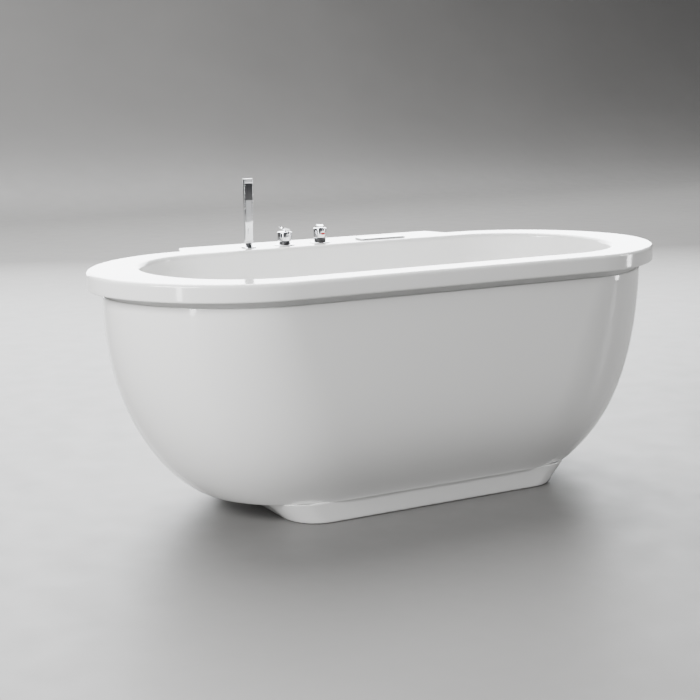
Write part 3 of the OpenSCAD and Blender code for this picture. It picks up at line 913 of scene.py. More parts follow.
@dataclass
class BasinShell(Assembly):
    """The moulded basin with its deck and its upright lip band."""

    half_length: float = 900.0
    half_width: float = 380.0
    basin_a: float = 745.0
    basin_b: float = 285.0
    basin_s: float = 460.0
    low_a: float = 500.0
    low_b: float = 190.0
    low_s: float = 380.0
    floor_z: float = 175.0
    wall: float = 6.0
    deck: float = 8.0
    lip: float = 48.0
    band: float = 12.0
    band_round: float = 5.0
    edge_round: float = 10.0
    mouth_round: float = 12.0
    deck_holes: tuple[float, ...] = (-270.0, -148.0, -25.0)
    hole_radius: float = 16.0
    spout_x: float = 192.0
    slot: Pair = (132.0, 24.0)
    overflow: Pair = (-285.0, 607.0)
    drain_hole: float = 26.0
    overflow_hole: float = 20.0

    def basin(self, u: float, out: float) -> Level:
        """Level of the basin's side at share u of its height, out from the skin."""
        grow_a = (1 - (1 - u) ** 2.2) ** 0.62
        grow_b = (1 - (1 - u) ** 4) ** 0.5
        a = self.low_a + (self.basin_a - self.low_a) * grow_a + out
        b = self.low_b + (self.basin_b - self.low_b) * grow_b + out
        top = DECK_Z - self.mouth_round
        z = self.floor_z + (top - self.floor_z) * u - out * (1 - u) ** 2
        s = self.low_s + (self.basin_s - self.low_s) * u
        return level(a, b, s, 2.3 - 0.3 * u, 0.0, z)

    def rim(self, inset: float, z: float) -> Level:
        """Level of the rim's outline, drawn in by an inset."""
        a, b = self.half_length - inset, self.half_width - inset
        return level(a, b, PLAN.straight, 1.88, PLAN.ledge_out, z)

    def mouth(self, out: float, z: float) -> Level:
        """Level of the basin's mouth, grown outwards."""
        return level(self.basin_a + out, self.basin_b + out, self.basin_s, 2.0, 0.0, z)

    def levels(self) -> list[Level]:
        """Levels of the whole shell, from under the floor over the rim to the floor."""
        low, r, e, m = DECK_Z - self.lip, self.band_round, self.edge_round, self.mouth_round
        under = DECK_Z - self.deck
        rows = [self.basin(u, self.wall) for u in shares(14, 2.0)]
        rows += [self.mouth(self.wall + 2, under), self.rim(self.band, under)]
        rows += [self.rim(self.band, low + 0.4), self.rim(self.band - 0.4, low)]
        rows += [self.rim(r * (1 - s), low + r * (1 - c)) for s, c in quarter(6)]
        rows += [self.rim(0, low + 8), self.rim(0, DECK_Z - e - 3)]
        rows += [self.rim(e * (1 - c), DECK_Z - e * (1 - s)) for s, c in quarter(8)]
        rows += [self.rim(e + 4, DECK_Z), self.mouth(m + 5, DECK_Z)]
        rows += [self.mouth(m * (1 - s), DECK_Z - m * (1 - c)) for s, c in quarter(8)[:-1]]
        rows += [self.basin(u, 0.0) for u in reversed(shares(44, 2.0))]
        return rows

    def holes(self) -> list[bpy.types.Object]:
        """Cutters for the fittings, the waste and the overflow."""
        y, under, deep = TUB_Y + FIT_Y, DECK_Z - self.deck - 10, 40.0
        hole = [(self.hole_radius, 0.0), (self.hole_radius, deep)]
        cutters = [turned("hole", hole, (x, y, under)) for x in self.deck_holes]
        drain = [(self.drain_hole, 0.0), (self.drain_hole, deep)]
        cutters.append(turned("hole", drain, (0.0, TUB_Y, self.floor_z - 20)))
        over = [(self.overflow_hole, 0.0), (self.overflow_hole, 60.0)]
        at = (0.0, TUB_Y + self.overflow[0] - 35, self.overflow[1])
        cutters.append(turned("hole", over, at, Way.FAR))
        cutters.append(block("hole", (*self.slot, deep), (self.spout_x, y, under), 8.0))
        return cutters

    def pieces(self) -> Iterator[Fitted]:
        """Make the shell."""
        rows = self.levels()
        piece = wrapped_grid(
            "basin", len(rows[0]), len(rows) - 1, lambda i, j: rows[j][i], capped=True
        )
        settle(piece)
        carve(piece, *self.holes())
        yield settle(piece), "basin_shell"


@dataclass
class Skirt(Assembly):
    """The boat-shaped outer skirt with its neck under the lip, and the plinth."""

    top_a: float = 858.0
    top_b: float = 361.0
    low_a: float = 606.0
    low_b: float = 284.0
    low_s: float = 260.0
    top_z: float = 617.0
    plinth_z: float = 60.0
    wall: float = 5.0
    neck_in: float = 10.0
    neck_h: float = 42.0
    edge: float = 3.0
    foot_a: float = 436.0
    foot_b: float = 276.0
    flare: float = 64.0
    foot_corner: float = 95.0
    corner_steps: int = 18
    bed: tuple[float, float, float, float] = (470.0, 245.0, 300.0, 4.0)

    def side(self, u: float, inset: float, lift: float) -> Level:
        """Level of the skirt's side at share u of its height, drawn in by an inset."""
        grow_a = (1 - (1 - u) ** 2.1) ** 0.78
        grow_b = (1 - (1 - u) ** 6) ** 1.4
        a = self.low_a + (self.top_a - self.low_a) * grow_a - inset
        b = self.low_b + (self.top_b - self.low_b) * grow_b - inset
        bump = PLAN.ledge_out * (1 - (1 - u) ** 3)
        z = self.plinth_z + (self.top_z - self.plinth_z) * u + lift * (1 - u) ** 2
        s = self.low_s + (PLAN.straight - self.low_s) * u
        return level(a, b, s, 2.28 - 0.5 * u, bump, z)

    def neck(self, inset: float, z: float) -> Level:
        """Level of the neck between the skirt and the lip."""
        a, b = self.top_a - inset, self.top_b - inset
        return level(a, b, PLAN.straight, 1.78, PLAN.ledge_out, z)

    def levels(self) -> list[Level]:
        """Levels of the skirt, up the outside and down the inside."""
        e, z = self.edge, self.top_z
        rows = [self.side(u, 0.0, 0.0) for u in shares(44, 1.7)]
        rows += [self.neck(e * (1 - c), z + e * s) for s, c in quarter(5)[1:]]
        rows += [self.neck(self.neck_in - 1, z + e), self.neck(self.neck_in, z + e + 1)]
        rows += [self.neck(self.neck_in, z + self.neck_h)]
        rows += [self.neck(self.neck_in + self.wall, z + self.neck_h)]
        rows += [self.side(1.0, self.neck_in + self.wall, 0.0)]
        rows += [self.side(u, self.wall, self.wall) for u in reversed(shares(16, 1.7)[:-1])]
        for height in (self.wall, 0.0):
            rows.append(level(*self.bed, 0.0, self.plinth_z + height))
        return [*rows, rows[0]]

    def foot(self, inset: float, z: float) -> Level:
        """Level of the plinth: a rounded rectangle whose ends lean outwards."""
        rise = z / self.plinth_z
        a, b = self.foot_a + self.flare * rise - inset, self.foot_b + 2 * rise - inset
        r = self.foot_corner + 20 * rise - inset
        points: Level = []
        for corner, (sx, sy) in enumerate(((1, 1), (-1, 1), (-1, -1), (1, -1))):
            for k in range(self.corner_steps + 1):
                t = math.radians(90 * (corner + k / self.corner_steps))
                x, y = sx * (a - r) + r * math.cos(t), sy * (b - r) + r * math.sin(t)
                points.append((x, y + TUB_Y, z))
        return points

    def plinth_levels(self) -> list[Level]:
        """Levels of the plinth, from the floor up the outside and down the inside."""
        h = self.plinth_z
        rows = [self.foot(6 * (1 - s), 6 * (1 - c)) for s, c in quarter(6)]
        rows += [self.foot(0, 12), self.foot(0, h / 2), self.foot(0, h - 3), self.foot(0, h - 0.6)]
        rows += [self.foot(0.6, h), self.foot(8, h), self.foot(8, 9), self.foot(36, 6)]
        rows += [self.foot(36, 0)]
        return [*rows, rows[0]]

    def pieces(self) -> Iterator[Fitted]:
        """Make the skirt and the plinth."""
        for name, rows in (("outer_skirt", self.levels()), ("plinth", self.plinth_levels())):
            piece = wrapped_grid(
                "tub_" + name, len(rows[0]), len(rows) - 1, lambda i, j, r=rows: r[j][i]
            )
            yield settle(piece, 50.0), name


# ---- Waste and overflow ----------------------------------------------------------------


@dataclass
class Waste(Assembly):
    """The pop-up waste and the overflow knob that works it."""

    floor_z: float = 175.0
    drain_radius: float = 25.0
    bore: float = 21.0
    overflow: Point = (0.0, -285.0, 607.0)

    def drain(self) -> bpy.types.Object:
        """Flange and tube of the waste, with the spider that guides the plug."""
        profile = [
            (self.drain_radius, -48.0), (self.drain_radius, 0.0), (36.0, 0.0), (36.0, 1.0),
            (35.4, 2.2), (34.2, 3.0), (29.5, 3.0), (28.3, 2.6), (27.0, 2.2), (self.bore, -0.5),
            (self.bore, -48.0),
        ]
        flange = turned("drain", profile, (0.0, TUB_Y, self.floor_z), closed=True, segments=96)
        hub_z = self.floor_z - 34
        hub = turned(
            "hub", [(4.05, 0), (7, 0), (7, 6), (4.05, 6)], (0.0, TUB_Y, hub_z), closed=True
        )
        arms = []
        for k in range(6):
            arm = block("arm", (15.2, 2.4, 4.0), (13.8, 0.0, hub_z), 0.0)
            arm.rotation_euler = (0.0, 0.0, math.radians(60 * k))
            arm.location = (0.0, TUB_Y * MM, 0.0)
            activate(arm)
            bpy.ops.object.transform_apply(location=True, rotation=True, scale=True)
            arms.append(arm)
        return join("drain_flange", flange, hub, *arms)

    def plug(self) -> bpy.types.Object:
        """Domed head and stem of the plug."""
        profile = [
            (4.0, -40.0), (4.0, 0.0), (30.6, 0.0), (31.0, 0.4), (31.0, 1.6), (30.4, 2.4),
            (29.0, 3.2), (26.5, 4.2), (22.0, 5.2), (16.0, 5.8), (8.0, 6.0), (2.0, 6.0),
        ]
        return turned("drain_plug_head", profile, (0.0, TUB_Y, self.floor_z + 3.4), segments=96)

    def knob(self) -> bpy.types.Object:
        """Overflow plate that turns, with its two finger grips and its spindle."""
        x, y, z = self.overflow
        at = (x, TUB_Y + y + 3, z)
        profile = [
            (5.0, -34.0), (5.0, 0.0), (33.4, 0.0), (34.0, 0.6), (34.0, 3.6), (33.4, 5.4),
            (31.6, 7.2), (29.0, 8.0), (27.5, 7.4), (25.0, 7.0), (10.0, 7.0), (3.0, 7.0),
        ]
        plate = turned("knob", profile, at, Way.FAR, segments=96)
        grips = []
        for side in (-1.0, 1.0):
            grip = [(4.0, 6.0), (4.0, 9.4), (3.6, 10.4), (2.6, 11.0), (0.8, 11.0)]
            where = (at[0] + side * 24.0, at[1], at[2])
            grips.append(turned("grip", grip, where, Way.FAR, segments=32))
        return join("overflow_plate", plate, *grips)

    def pieces(self) -> Iterator[Fitted]:
        """Make the waste's visible pieces."""
        yield settle(self.drain()), "drain_body"
        yield self.plug(), "drain_plug"
        yield settle(self.knob()), "overflow_knob"


# ---- Deck fittings ---------------------------------------------------------------------


@dataclass
class HandShower(Assembly):
    """A square bar hand shower that stands in a round holder."""

    x: float = -270.0
    y: float = FIT_Y
    width: float = 28.5
    foot: float = 25.0
    thick: float = 13.0
    height: float = 193.0
    low: float = 13.0
    spray_h: float = 51.0
    spray_w: float = 25.0
    spray_top: float = 13.0
    stem: float = 4.5
    nozzle_rows: int = 10
    nozzle_pitch: Pair = (7.0, 4.5)

    def at(self, z: float = 0.0) -> Point:
        """Point of the shower's axis, z above the deck."""
        return (self.x, self.y + TUB_Y, DECK_Z + z)

    def spray_corner(self) -> Pair:
        """The bar's front face, and the foot of the spray plate."""
        top = DECK_Z + self.low + self.height - self.spray_top
        return self.y + TUB_Y - self.thick / 2, top - self.spray_h

    def bar(self) -> bpy.types.Object:
        """The bar, narrower at its foot and recessed for the spray plate."""
        piece = block("bar", (self.width, self.thick, self.height), self.at(self.low), 2.0, 4)
        share, foot_z = self.foot / self.width, (DECK_Z + self.low + 1.0) * MM
        pick_edges(piece, lambda a, b: max(a.z, b.z) < foot_z)
        with editing(piece, Element.EDGE):
            bpy.ops.transform.resize(
                value=(share, 1.0, 1.0), center_override=Vector(self.at(self.low)) * MM
            )
        front, spray_z = self.spray_corner()
        pocket = block(
            "pocket", (self.spray_w, 3.0, self.spray_h), (self.x, front, spray_z), 0.0
        )
        hollow = [(self.stem, -1.0), (self.stem, 12.0)]
        socket = turned("socket", hollow, self.at(self.low), segments=32)
        carve(piece, pocket, socket)
        soften(piece, 0.5)
        return settle(piece)

    def spray_plate(self) -> bpy.types.Object:
        """The spray plate with its rows of soft nozzles."""
        front, spray_z = self.spray_corner()
        size = (self.spray_w - 2 * GAP, 1.5 - 2 * GAP, self.spray_h - 2 * GAP)
        low = (self.x, front + GAP + size[1] / 2, spray_z + GAP)
        plate = block("plate", size, low, 0.0)
        soften(plate, 0.25, 2)
        nozzles = []
        across, up = self.nozzle_pitch
        for row in range(self.nozzle_rows):
            for side in (-across, 0.0, across):
                tip = [(0.5, -0.9), (0.8, -0.75), (0.9, -0.4), (0.9, 0.6)]
                spot = (self.x + side, front + GAP, spray_z + 5 + row * up)
                nozzles.append(turned("tip", tip, spot, Way.FAR, segments=16))
        return join("spray_plate", plate, *nozzles)

    def connector(self) -> bpy.types.Object:
        """The black swivel between the bar and the hose."""
        profile = [
            (8.6, 6.3), (9.0, 6.5), (9.7, 8.7), (9.8, 9.4), (9.8, 10.2), (9.4, 10.5),
            (9.8, 10.8), (9.8, 12.5), (9.4, 12.9), (4.45, 12.9), (4.45, 23.0),
        ]
        return turned("connector", profile, self.at(), segments=48)

    def holder(self) -> bpy.types.Object:
        """The dished base plate and its shank through the deck."""
        profile = [
            (6.8, -40.0), (12.0, -40.0), (12.0, 0.0), (23.1, 0.0), (23.4, 0.3), (23.2, 1.3),
            (22.5, 2.4), (19.5, 3.0), (15.0, 3.9), (12.4, 5.0), (11.6, 5.8), (11.0, 6.0),
            (7.2, 6.0), (6.8, 5.6),
        ]
        return turned("shower_holder", profile, self.at(), closed=True, segments=96)

    def pieces(self) -> Iterator[Fitted]:
        """Make the hand shower and its holder."""
        yield self.bar(), "handset_bar"
        yield settle(self.spray_plate()), "handset_spray_plate"
        yield self.connector(), "handset_connector"
        yield self.holder(), "handset_holder"


@dataclass
class LeverHandle(Assembly):
    """A round handle on a plate and a collar, with a flat lever on top."""

    x: float
    label: str
    radius: float
    low: float
    top: float
    collar: tuple[float, float]
    mark: Pair
    turn: float
    slope: float
    hinged: bool
    y: float = FIT_Y
    plate: float = 32.5
    lever_length: float = 28.0
    lever_width: float = 20.0
    lever_rise: float = 6.5
    barrel: float = 2.25
    back: float = 9.0
    pin_up: float = 2.5
    mark_z: float = 28.5
    pin: float = 1.2

    def at(self, z: float = 0.0) -> Point:
        """Point of the handle's axis, z above the deck."""
        return (self.x, self.y + TUB_Y, DECK_Z + z)

    def escutcheon(self) -> bpy.types.Object:
        """The thin round plate on the deck."""
        p = self.plate
        profile = [
            (15.3, 0.0), (p - 0.4, 0.0), (p, 0.4), (p, 1.2), (p - 0.6, 1.7), (p - 7, 3.0),
            (15.9, 3.0), (15.3, 2.4),
        ]
        return turned(self.label + "_plate", profile, self.at(), closed=True, segments=96)

    def collar_ring(self) -> bpy.types.Object:
        """The black collar between the plate and the handle."""
        low, high = self.collar
        top = self.low - GAP
        profile = [
            (11.3, 3.3), (low - 0.3, 3.3), (low, 3.6), (high, top - 0.4), (high - 0.4, top),
            (11.3, top),
        ]
        return turned(self.label + "_ring", profile, self.at(), closed=True, segments=72)

    def cup(self) -> bpy.types.Object:
        """The handle's body, hollow for the valve's spindle and pocketed for its mark."""
        r, top, low = self.radius, self.top, self.low
        profile = [
            (11.3, low), (r - 1.6, low), (r - 0.8, low + 0.5), (r, low + 1.6), (r, top - 3.0),
            (r - 0.2, top - 1.9), (r - 0.8, top - 0.8), (r - 1.8, top - 0.2), (r - 2.8, top),
            (1.0, top),
        ]
        outside = turned("cup", profile, self.at(), segments=96)
        hollow = turned("hollow", [(11.3, low - 1), (11.3, low + 16)], self.at(), segments=48)
        length, height = self.mark
        at = self.at(self.mark_z)
        at = (at[0], at[1] - r + 1.0, at[2])
        pocket = stadium("pocket", length + 2 * GAP, height + 2 * GAP, 4.6, at)
        carve(outside, hollow, pocket)
        return settle(outside)

    def swing(self, piece: bpy.types.Object, slope: float, z: float) -> bpy.types.Object:
        """Turn a piece made along +X to the lever's own direction and slope."""
        turn = Matrix.Rotation(math.radians(self.turn), 4, "Z")
        back = Matrix.Translation((-self.back * MM, 0.0, 0.0))
        tilt = Matrix.Rotation(-math.radians(slope), 4, "Y")
        piece.matrix_world = Matrix.Translation(Vector(self.at(z)) * MM) @ turn @ back @ tilt
        return piece

    def blade(self) -> bpy.types.Object:
        """The wedge-shaped lever with a round barrel at its pivot."""
        length, width, barrel = self.lever_length, self.lever_width, self.barrel
        deep = self.lever_rise + barrel
        plate = block(
            "blade", (2 * length, width, deep), (0.0, 0.0, -barrel), width / 2 - 0.05, 12
        )
        cut = block("cut", (2 * length, width * 2, 4 * deep), (-2.2 - length, 0.0, -deep), 0.0)
        above = block("above", (3 * length, width * 2, 20.0), (0.0, 0.0, 0.0), 0.0)
        slope = math.atan2(self.lever_rise - 1.6, length)
        above.rotation_euler = (0.0, slope, 0.0)
        above.location = (0.0, 0.0, self.lever_rise * MM)
        under = block("under", (3 * length, width * 2, 20.0), (0.0, 0.0, -20.0), 0.0)
        under.rotation_euler = (0.0, -math.atan2(barrel - 1.2, length), 0.0)
        under.location = (0.0, 0.0, -barrel * MM)
        for piece in (above, under):
            settle(piece)
        heel = block("heel", (6.0, width * 2, 6.0), (-3.0, 0.0, -6.0), 0.0)
        carve(plate, cut, above, under, heel)
        barrel_piece = turned(
            "barrel", [(barrel, -width / 2), (barrel, width / 2)], (0, 0, 0), Way.FAR, segments=32
        )
        apply_modifier(
            plate, "BOOLEAN", {"object": barrel_piece, "operation": "UNION", "solver": "EXACT"}
        )
        bpy.data.meshes.remove(barrel_piece.data)
        if self.hinged:
            bore = turned("bore", [(self.pin + 0.05, -width), (self.pin + 0.05, width)],
                          (0, 0, 0), Way.FAR, segments=24)
            carve(plate, bore)
        soften(plate, 0.5, 3, 40.0)
        return self.swing(plate, self.slope, self.top + self.pin_up)

    def ears(self) -> list[bpy.types.Object]:
        """Two ears at the ends of the lever's barrel."""
        width, ears = self.lever_width, []
        for side in (-1.0, 1.0):
            foot = (0.0, side * (width / 2 + GAP + 1.0), -self.pin_up - 1.0)
            ear = block("ear", (4.8, 2.0, self.pin_up + 3.4), foot, 0.0)
            pick_edges(ear, lambda a, b: abs(a.y - b.y) > MM and a.z > 2.0 * MM)
            with editing(ear, Element.EDGE):
                bpy.ops.mesh.bevel(offset=2.3 * MM, segments=8, affect="EDGES")
            if self.hinged:
                carve(ear, turned("bore", [(self.pin + 0.01, -20), (self.pin + 0.01, 20)],
                                  (0, 0, 0), Way.FAR, segments=24))
            ears.append(self.swing(ear, 0.0, self.top + self.pin_up))
        return ears

    def pivot_pin(self) -> bpy.types.Object:
        """The pin through the ears and the lever."""
        half = self.lever_width / 2 + 2.0 + GAP
        profile = [
            (self.pin - 0.3, -half), (self.pin, -half + 0.3), (self.pin, half - 0.3),
            (self.pin - 0.3, half),
        ]
        pin = turned(self.label + "_pin", profile, (0, 0, 0), Way.FAR, segments=24)
        return settle(self.swing(pin, 0.0, self.top + self.pin_up))

    def badge(self) -> bpy.types.Object:
        """The enamel mark on the handle's near side."""
        length, height = self.mark
        at = self.at(self.mark_z)
        at = (at[0], at[1] - self.radius + 0.85, at[2])
        piece = stadium(self.label + "_badge", length, height, 2.3, at)
        soften(piece, 0.3, 3, 50.0)
        return settle(piece, 50.0)

    def pieces(self) -> Iterator[Fitted]:
        """Make the handle's pieces."""
        label = self.label
        yield self.escutcheon(), label + "_escutcheon"
        yield self.collar_ring(), label + "_collar"
        yield self.badge(), label + "_mark"
        cup, ears, blade = self.cup(), self.ears(), self.blade()
        if self.hinged:
            yield settle(join("mixer_knob_body", cup, *ears)), "mixer_handle"
            yield settle(blade), "mixer_lever"
            yield self.pivot_pin(), "lever_pin"
        else:
            yield settle(join("diverter_knob_body", cup, blade, *ears)), "diverter_handle"


@dataclass
class Spout(Assembly):
    """The low waterfall spout let into the deck."""

    x: float = 192.0
    y: float = FIT_Y
    length: float = 160.0
    width: float = 46.0
    height: float = 4.0
    top: float = 1.4

    def cover(self) -> bpy.types.Object:
        """The cover, hollow underneath and open along its near side."""
        at = (self.x, self.y + TUB_Y, DECK_Z)
        piece = block("spout_hood", (self.length, self.width, self.height), at, 6.0, 8)
        inside = block(
            "inside", (self.length - 12, self.width - 12, self.height - self.top + 5),
            (at[0], at[1], at[2] - 5), 4.0,
        )
        front = at[1] - self.width / 2
        mouth = block("mouth", (self.length - 16, 18.0, 1.7), (at[0], front, at[2] + 0.9), 0.0)
        carve(piece, inside, mouth)
        soften(piece, 0.35, 3)
        return settle(piece)

    def pieces(self) -> Iterator[Fitted]:
        """Make the spout's cover."""
        yield self.cover(), "spout_cover"


# ---- Hoses -----------------------------------------------------------------------------


@dataclass
class Hose(Assembly):
    """A round hose along a smooth path in one plane, with rings if it is corrugated."""

    node: str
    radius: float
    points: Sequence[Point]
    across: Point
    ridge: float = 0.0
    pitch: float = 5.0
    around: int = 24
    threaded: bool = False

    def nut(self) -> list[bpy.types.Object]:
        """Hexagon and threaded end at the foot of a supply hose."""
        x, y, _ = self.points[-1]
        root, crest, pitch, low, high = 9.2, 10.4, 1.9, 12.0, 30.4
        thread = [(root, low)]
        for turn in range(9):
            start = low + 1.2 + pitch * turn
            thread += [(crest, start), (root, start + pitch / 2)]
        thread += [(root, high)]
        end = turned("thread", thread, (x, y, 0.0), segments=48)
        hexagon = turned("hexagon", [(13.0, 30.0), (13.0, 42.0)], (x, y, 0.0), segments=6)
        soften(hexagon, 0.5)
        for part in (end, hexagon):
            for corner in part.data.uv_layers[0].data:
                corner.uv = (0.0, 0.0)
        return [end, settle(hexagon)]

    def run(self) -> list[Vector]:
        """Points along the smooth path, evenly enough for the finish."""
        p = [Vector(point) for point in self.points]
        path = []
        for i in range(len(p) - 1):
            a, b, c, d = p[max(i - 1, 0)], p[i], p[i + 1], p[min(i + 2, len(p) - 1)]
            steps = max(3, round((c - b).length / (self.pitch / 4 if self.ridge else 6.0)))
            for j in range(steps):
                t = j / steps
                bend = 2 * a - 5 * b + 4 * c - d
                twist = 3 * b - a - 3 * c + d
                path.append(0.5 * (2 * b + (c - a) * t + bend * t * t + twist * t**3))
        return [*path, p[-1]]

    def pieces(self) -> Iterator[Fitted]:
        """Make the hose, with its length in its map for the braid."""
        path, across = self.run(), Vector(self.across)
        rows, lengths, gone = [], [], 0.0
        for i, centre in enumerate(path):
            gone += (centre - path[i - 1]).length if i else 0.0
            lengths.append(gone)
            along = (path[min(i + 1, len(path) - 1)] - path[max(i - 1, 0)]).normalized()
            out = along.cross(across).normalized()
            side = along.cross(out)
            wave = 0.5 - 0.5 * math.cos(math.tau * gone / self.pitch)
            radius = self.radius - 0.1 - self.ridge * wave
            spokes = [math.tau * k / self.around for k in range(self.around)]
            rows.append([
                tuple(centre + radius * (math.cos(turn) * out + math.sin(turn) * side))
                for turn in spokes
            ])
        count = len(rows) - 1
        piece = wrapped_grid(
            self.node + "_tube", self.around, count, lambda i, j: rows[j][i], capped=True
        )
        for corner in piece.data.uv_layers[0].data:
            row = min(max(round(corner.uv.y * count), 0), count)
            corner.uv.y = lengths[row] / (math.tau * self.radius / 2)
        piece = settle(piece, 60.0)
        if self.threaded:
            piece = join(self.node + "_line", piece, *self.nut())
        yield piece, self.node


def deck_path(x: float, *heights: float) -> list[Point]:
    """Points straight down below a deck fitting, at heights above the floor."""
    return row_path(*((x, z) for z in heights))


def row_path(*points: Pair) -> list[Point]:
    """Points in the upright plane of the deck fittings, as places along it and heights."""
    return [(x, TUB_Y + FIT_Y, z) for x, z in points]


def tub_path(*points: Point) -> list[Point]:
    """Points given about the middle of the tub, moved to the common frame."""
    return [(x, y + TUB_Y, z) for x, y, z in points]


def supply(top: float, low: float) -> list[Point]:
    """Path of a supply hose from the mixer's port down inside the skirt."""
    y, z = FIT_Y, 581.7
    quarter_way, half_way = (3 * top + low) / 4, (top + low) / 2
    return tub_path(
        (top, y, z), (top, y, z - 12), (top, y, z - 24), (top, y + 14, 522), (top, y + 19, 474),
        (quarter_way, y + 17, 400), (half_way, y + 7, 300), ((top + 3 * low) / 4, y - 20, 200),
        (low, 285, 140), (low, 235, 100), (low, 215, 66), (low, 215, 50), (low, 215, 38),
    )


PIPES: tuple[Hose, ...] = (
    Hose("handset_hose", 6.0, deck_path(-270.0, 505.0, 691.3), (0.0, 1.0, 0.0)),
    Hose(
        "shower_hose", 6.0,
        deck_path(-161.0, 577.7, 565.7, 553.7, 500.0)
        + row_path(
            (-162, 420), (-168, 340), (-188, 285), (-211, 275), (-234, 285), (-263, 340),
            (-269, 420),
        )
        + deck_path(-270.0, 460.0, 481.0, 493.0, 504.7),
        (0.0, 1.0, 0.0),
    ),
    Hose(
        "spout_hose", 6.0,
        deck_path(-135.0, 577.7, 565.7, 553.7)
        + row_path((-108, 506), (-38, 480), (0, 474), (80, 476), (160, 492), (186, 530))
        + deck_path(192.0, 569.0, 581.0, 592.7),
        (0.0, 1.0, 0.0),
    ),
    Hose(
        "link_hose", 7.0, row_path((-112, 620), (-61, 620)), (0.0, 1.0, 0.0)
    ),
    Hose("hot_hose", 6.0, supply(-37.0, -60.0), (1.0, 0.0, 0.0), threaded=True),
    Hose("cold_hose", 6.0, supply(-13.0, 10.0), (1.0, 0.0, 0.0), threaded=True),
    Hose(
        "overflow_hose", 14.0,
        tub_path(
            (0, -48, 100), (0, -120, 100), (0, -200, 104), (0, -255, 140), (0, -285, 210),
            (0, -308, 300), (0, -318, 400), (0, -318, 500), (0, -318, 555),
        ),
        (1.0, 0.0, 0.0), 1.8, 6.0, 36,
    ),
    Hose(
        "lift_cable", 3.0,
        tub_path(
            (38.6, 0, 108), (43, 0, 108), (48, 0, 108), (55, -12, 106), (58, -40, 102),
            (62, -120, 100), (62, -200, 106), (60, -256, 146), (54, -292, 220), (52, -316, 320),
            (52, -320, 450), (50, -319, 540), (50, -318, 583), (44, -318, 595),
            (39, -318, 597), (34.6, -318, 597),
        ),
        (1.0, 0.0, 0.1), around=16,
    ),
)


# ---- Studio ----------------------------------------------------------------------------


@dataclass(frozen=True)
class Lamp:
    """One soft area light."""

    name: str
    place: Point
    aim: Point
    size: Pair
    power: float
    colour: Point = (1.0, 1.0, 1.0)


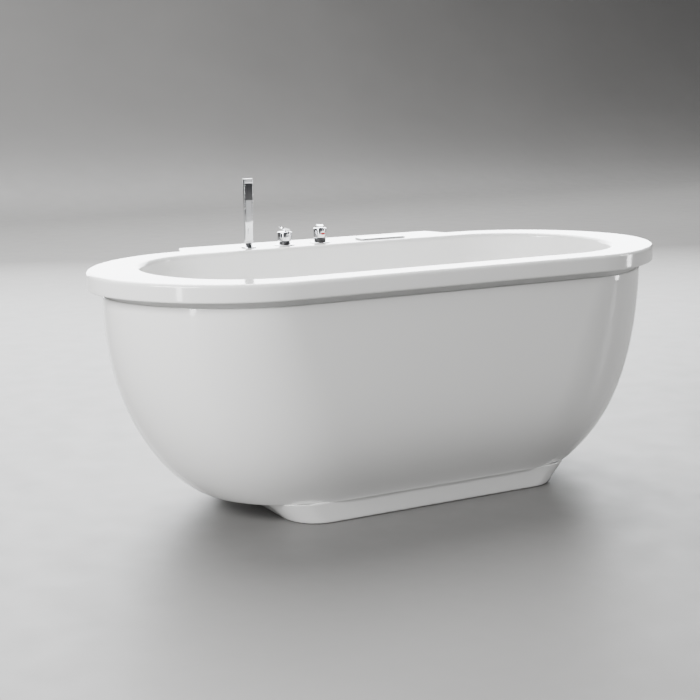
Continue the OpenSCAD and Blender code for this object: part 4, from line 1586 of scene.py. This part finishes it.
@dataclass
class Studio:
    """A plain grey floor, soft lights and the camera."""

    lens: float = 77.9
    eye: Point = (-2.2786, -3.7677, 1.2218)
    yaw: float = 0.5237
    pitch: float = 0.1858
    roll: float = -0.0064
    floor_half: float = 20.0
    turn_up: float = 8.0
    day_power: float = 7.0
    day_spread: float = 50.0
    day_from: Point = (0.25, 1.6, 2.2)
    room_light: float = 0.14
    lamps: tuple[Lamp, ...] = (
        Lamp("window", (2.0, 4.6, 1.9), (0.2, 0.0, 0.6), (6.5, 2.6), 620.0, (0.96, 0.98, 1.0)),
        Lamp("left_soft", (-4.0, -1.5, 2.9), (-0.6, -0.2, 0.6), (2.4, 1.6), 380.0),
        Lamp("left_strip", (-3.4, -1.75, 1.0), (-0.5, -0.3, 0.5), (0.22, 1.9), 36.0),
        Lamp("back_wash", (1.0, 5.0, 5.5), (3.5, 9.0, 0.8), (7.0, 2.0), 900.0),
        Lamp("front_card", (1.95, -4.15, 0.8), (-0.27, 0.3, 0.8), (1.8, 1.7), 6.5),
        Lamp("right_strip", (3.2, -1.1, 1.2), (0.7, -0.1, 0.5), (0.3, 2.2), 40.0),
    )

    def floor(self) -> None:
        """Lay the floor, turned up far behind the tub so that the camera sees no edge of it."""
        clear_selection()
        bpy.ops.mesh.primitive_grid_add(x_subdivisions=8, y_subdivisions=160, size=2.0)
        floor = claim("floor")
        for vertex in floor.data.vertices:
            back = max(0.0, vertex.co.y * self.floor_half - self.turn_up)
            share = min(back / (self.turn_up * 0.5), 1.0)
            vertex.co = (
                vertex.co.x * self.floor_half,
                min(vertex.co.y * self.floor_half, self.turn_up * (1.0 + 0.4 * share)),
                3.6 * share * share - 0.0004,
            )
        settle(floor, 60.0)
        g = Graph("studio floor")
        cloud = g.noise(1.2, 4.0)
        tone = g.tones(cloud, (0.125, 0.1235, 0.121), (0.15, 0.148, 0.145))
        rough = g.noise(9.0, 5.0) * 0.15 + 0.42
        floor.data.materials.append(g.finish({}, {"Base Color": tone, "Roughness": rough}))

    def light(self) -> None:
        """Hang the lamps and set the soft light of the room."""
        for lamp in self.lamps:
            data = bpy.data.lights.new(lamp.name, "AREA")
            data.shape = "RECTANGLE"
            data.size, data.size_y = lamp.size
            data.energy = lamp.power
            data.color = lamp.colour
            rig = bpy.data.objects.new(lamp.name, data)
            rig.location = lamp.place
            aim = Vector(lamp.aim) - Vector(lamp.place)
            rig.rotation_euler = aim.to_track_quat("-Z", "Y").to_euler()
            bpy.context.scene.collection.objects.link(rig)
        data = bpy.data.lights.new("day", "SUN")
        data.energy = self.day_power
        data.angle = math.radians(self.day_spread)
        rig = bpy.data.objects.new("day", data)
        rig.rotation_euler = (-Vector(self.day_from)).to_track_quat("-Z", "Y").to_euler()
        bpy.context.scene.collection.objects.link(rig)
        world = bpy.data.worlds.new("room")
        bpy.context.scene.world = world
        world.use_nodes = True
        room = world.node_tree.nodes["Background"]
        room.inputs["Color"].default_value = (0.82, 0.83, 0.85, 1.0)
        room.inputs["Strength"].default_value = self.room_light

    def camera(self) -> None:
        """Set the camera."""
        data = bpy.data.cameras.new("view")
        data.lens = self.lens
        data.sensor_width = 36.0
        camera = bpy.data.objects.new("view", data)
        sy, cy = math.sin(self.yaw), math.cos(self.yaw)
        sp, cp = math.sin(self.pitch), math.cos(self.pitch)
        forward, right = Vector((sy * cp, cy * cp, -sp)), Vector((cy, -sy, 0.0))
        up = right.cross(forward)
        sr, cr = math.sin(self.roll), math.cos(self.roll)
        right, up = cr * right + sr * up, cr * up - sr * right
        turn = Matrix((right, up, -forward)).transposed().to_4x4()
        camera.matrix_world = Matrix.Translation(self.eye) @ turn
        bpy.context.scene.collection.objects.link(camera)
        bpy.context.scene.camera = camera

    def build(self) -> None:
        """Set up the floor, the lights and the camera."""
        self.floor()
        self.light()
        self.camera()
        LOG.info("studio: %d lamps", len(self.lamps))


# ---- Assembly --------------------------------------------------------------------------


def main() -> None:
    """Build every sub-assembly on the frame and set up the studio."""
    logging.basicConfig(level=logging.INFO, format="%(name)s: %(message)s")
    shop = Workshop(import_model())
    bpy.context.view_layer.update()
    shop.dress_frame()
    diverter = LeverHandle(
        -148.0, "diverter", 22.0, 12.3, 40.0, (17.5, 14.5), (7.0, 4.0), 180.0, 24.0, False
    )
    mixer = LeverHandle(
        -25.0, "mixer", 20.0, 14.8, 45.0, (18.0, 18.0), (14.0, 6.5), 250.0, 6.0, True
    )
    shells, fittings = (BasinShell(), Skirt()), (HandShower(), diverter, mixer, Spout())
    for assembly in (*shells, Waste(), *fittings, *PIPES):
        assembly.build(shop)
    Studio().build()


if __name__ == "__main__":
    main()
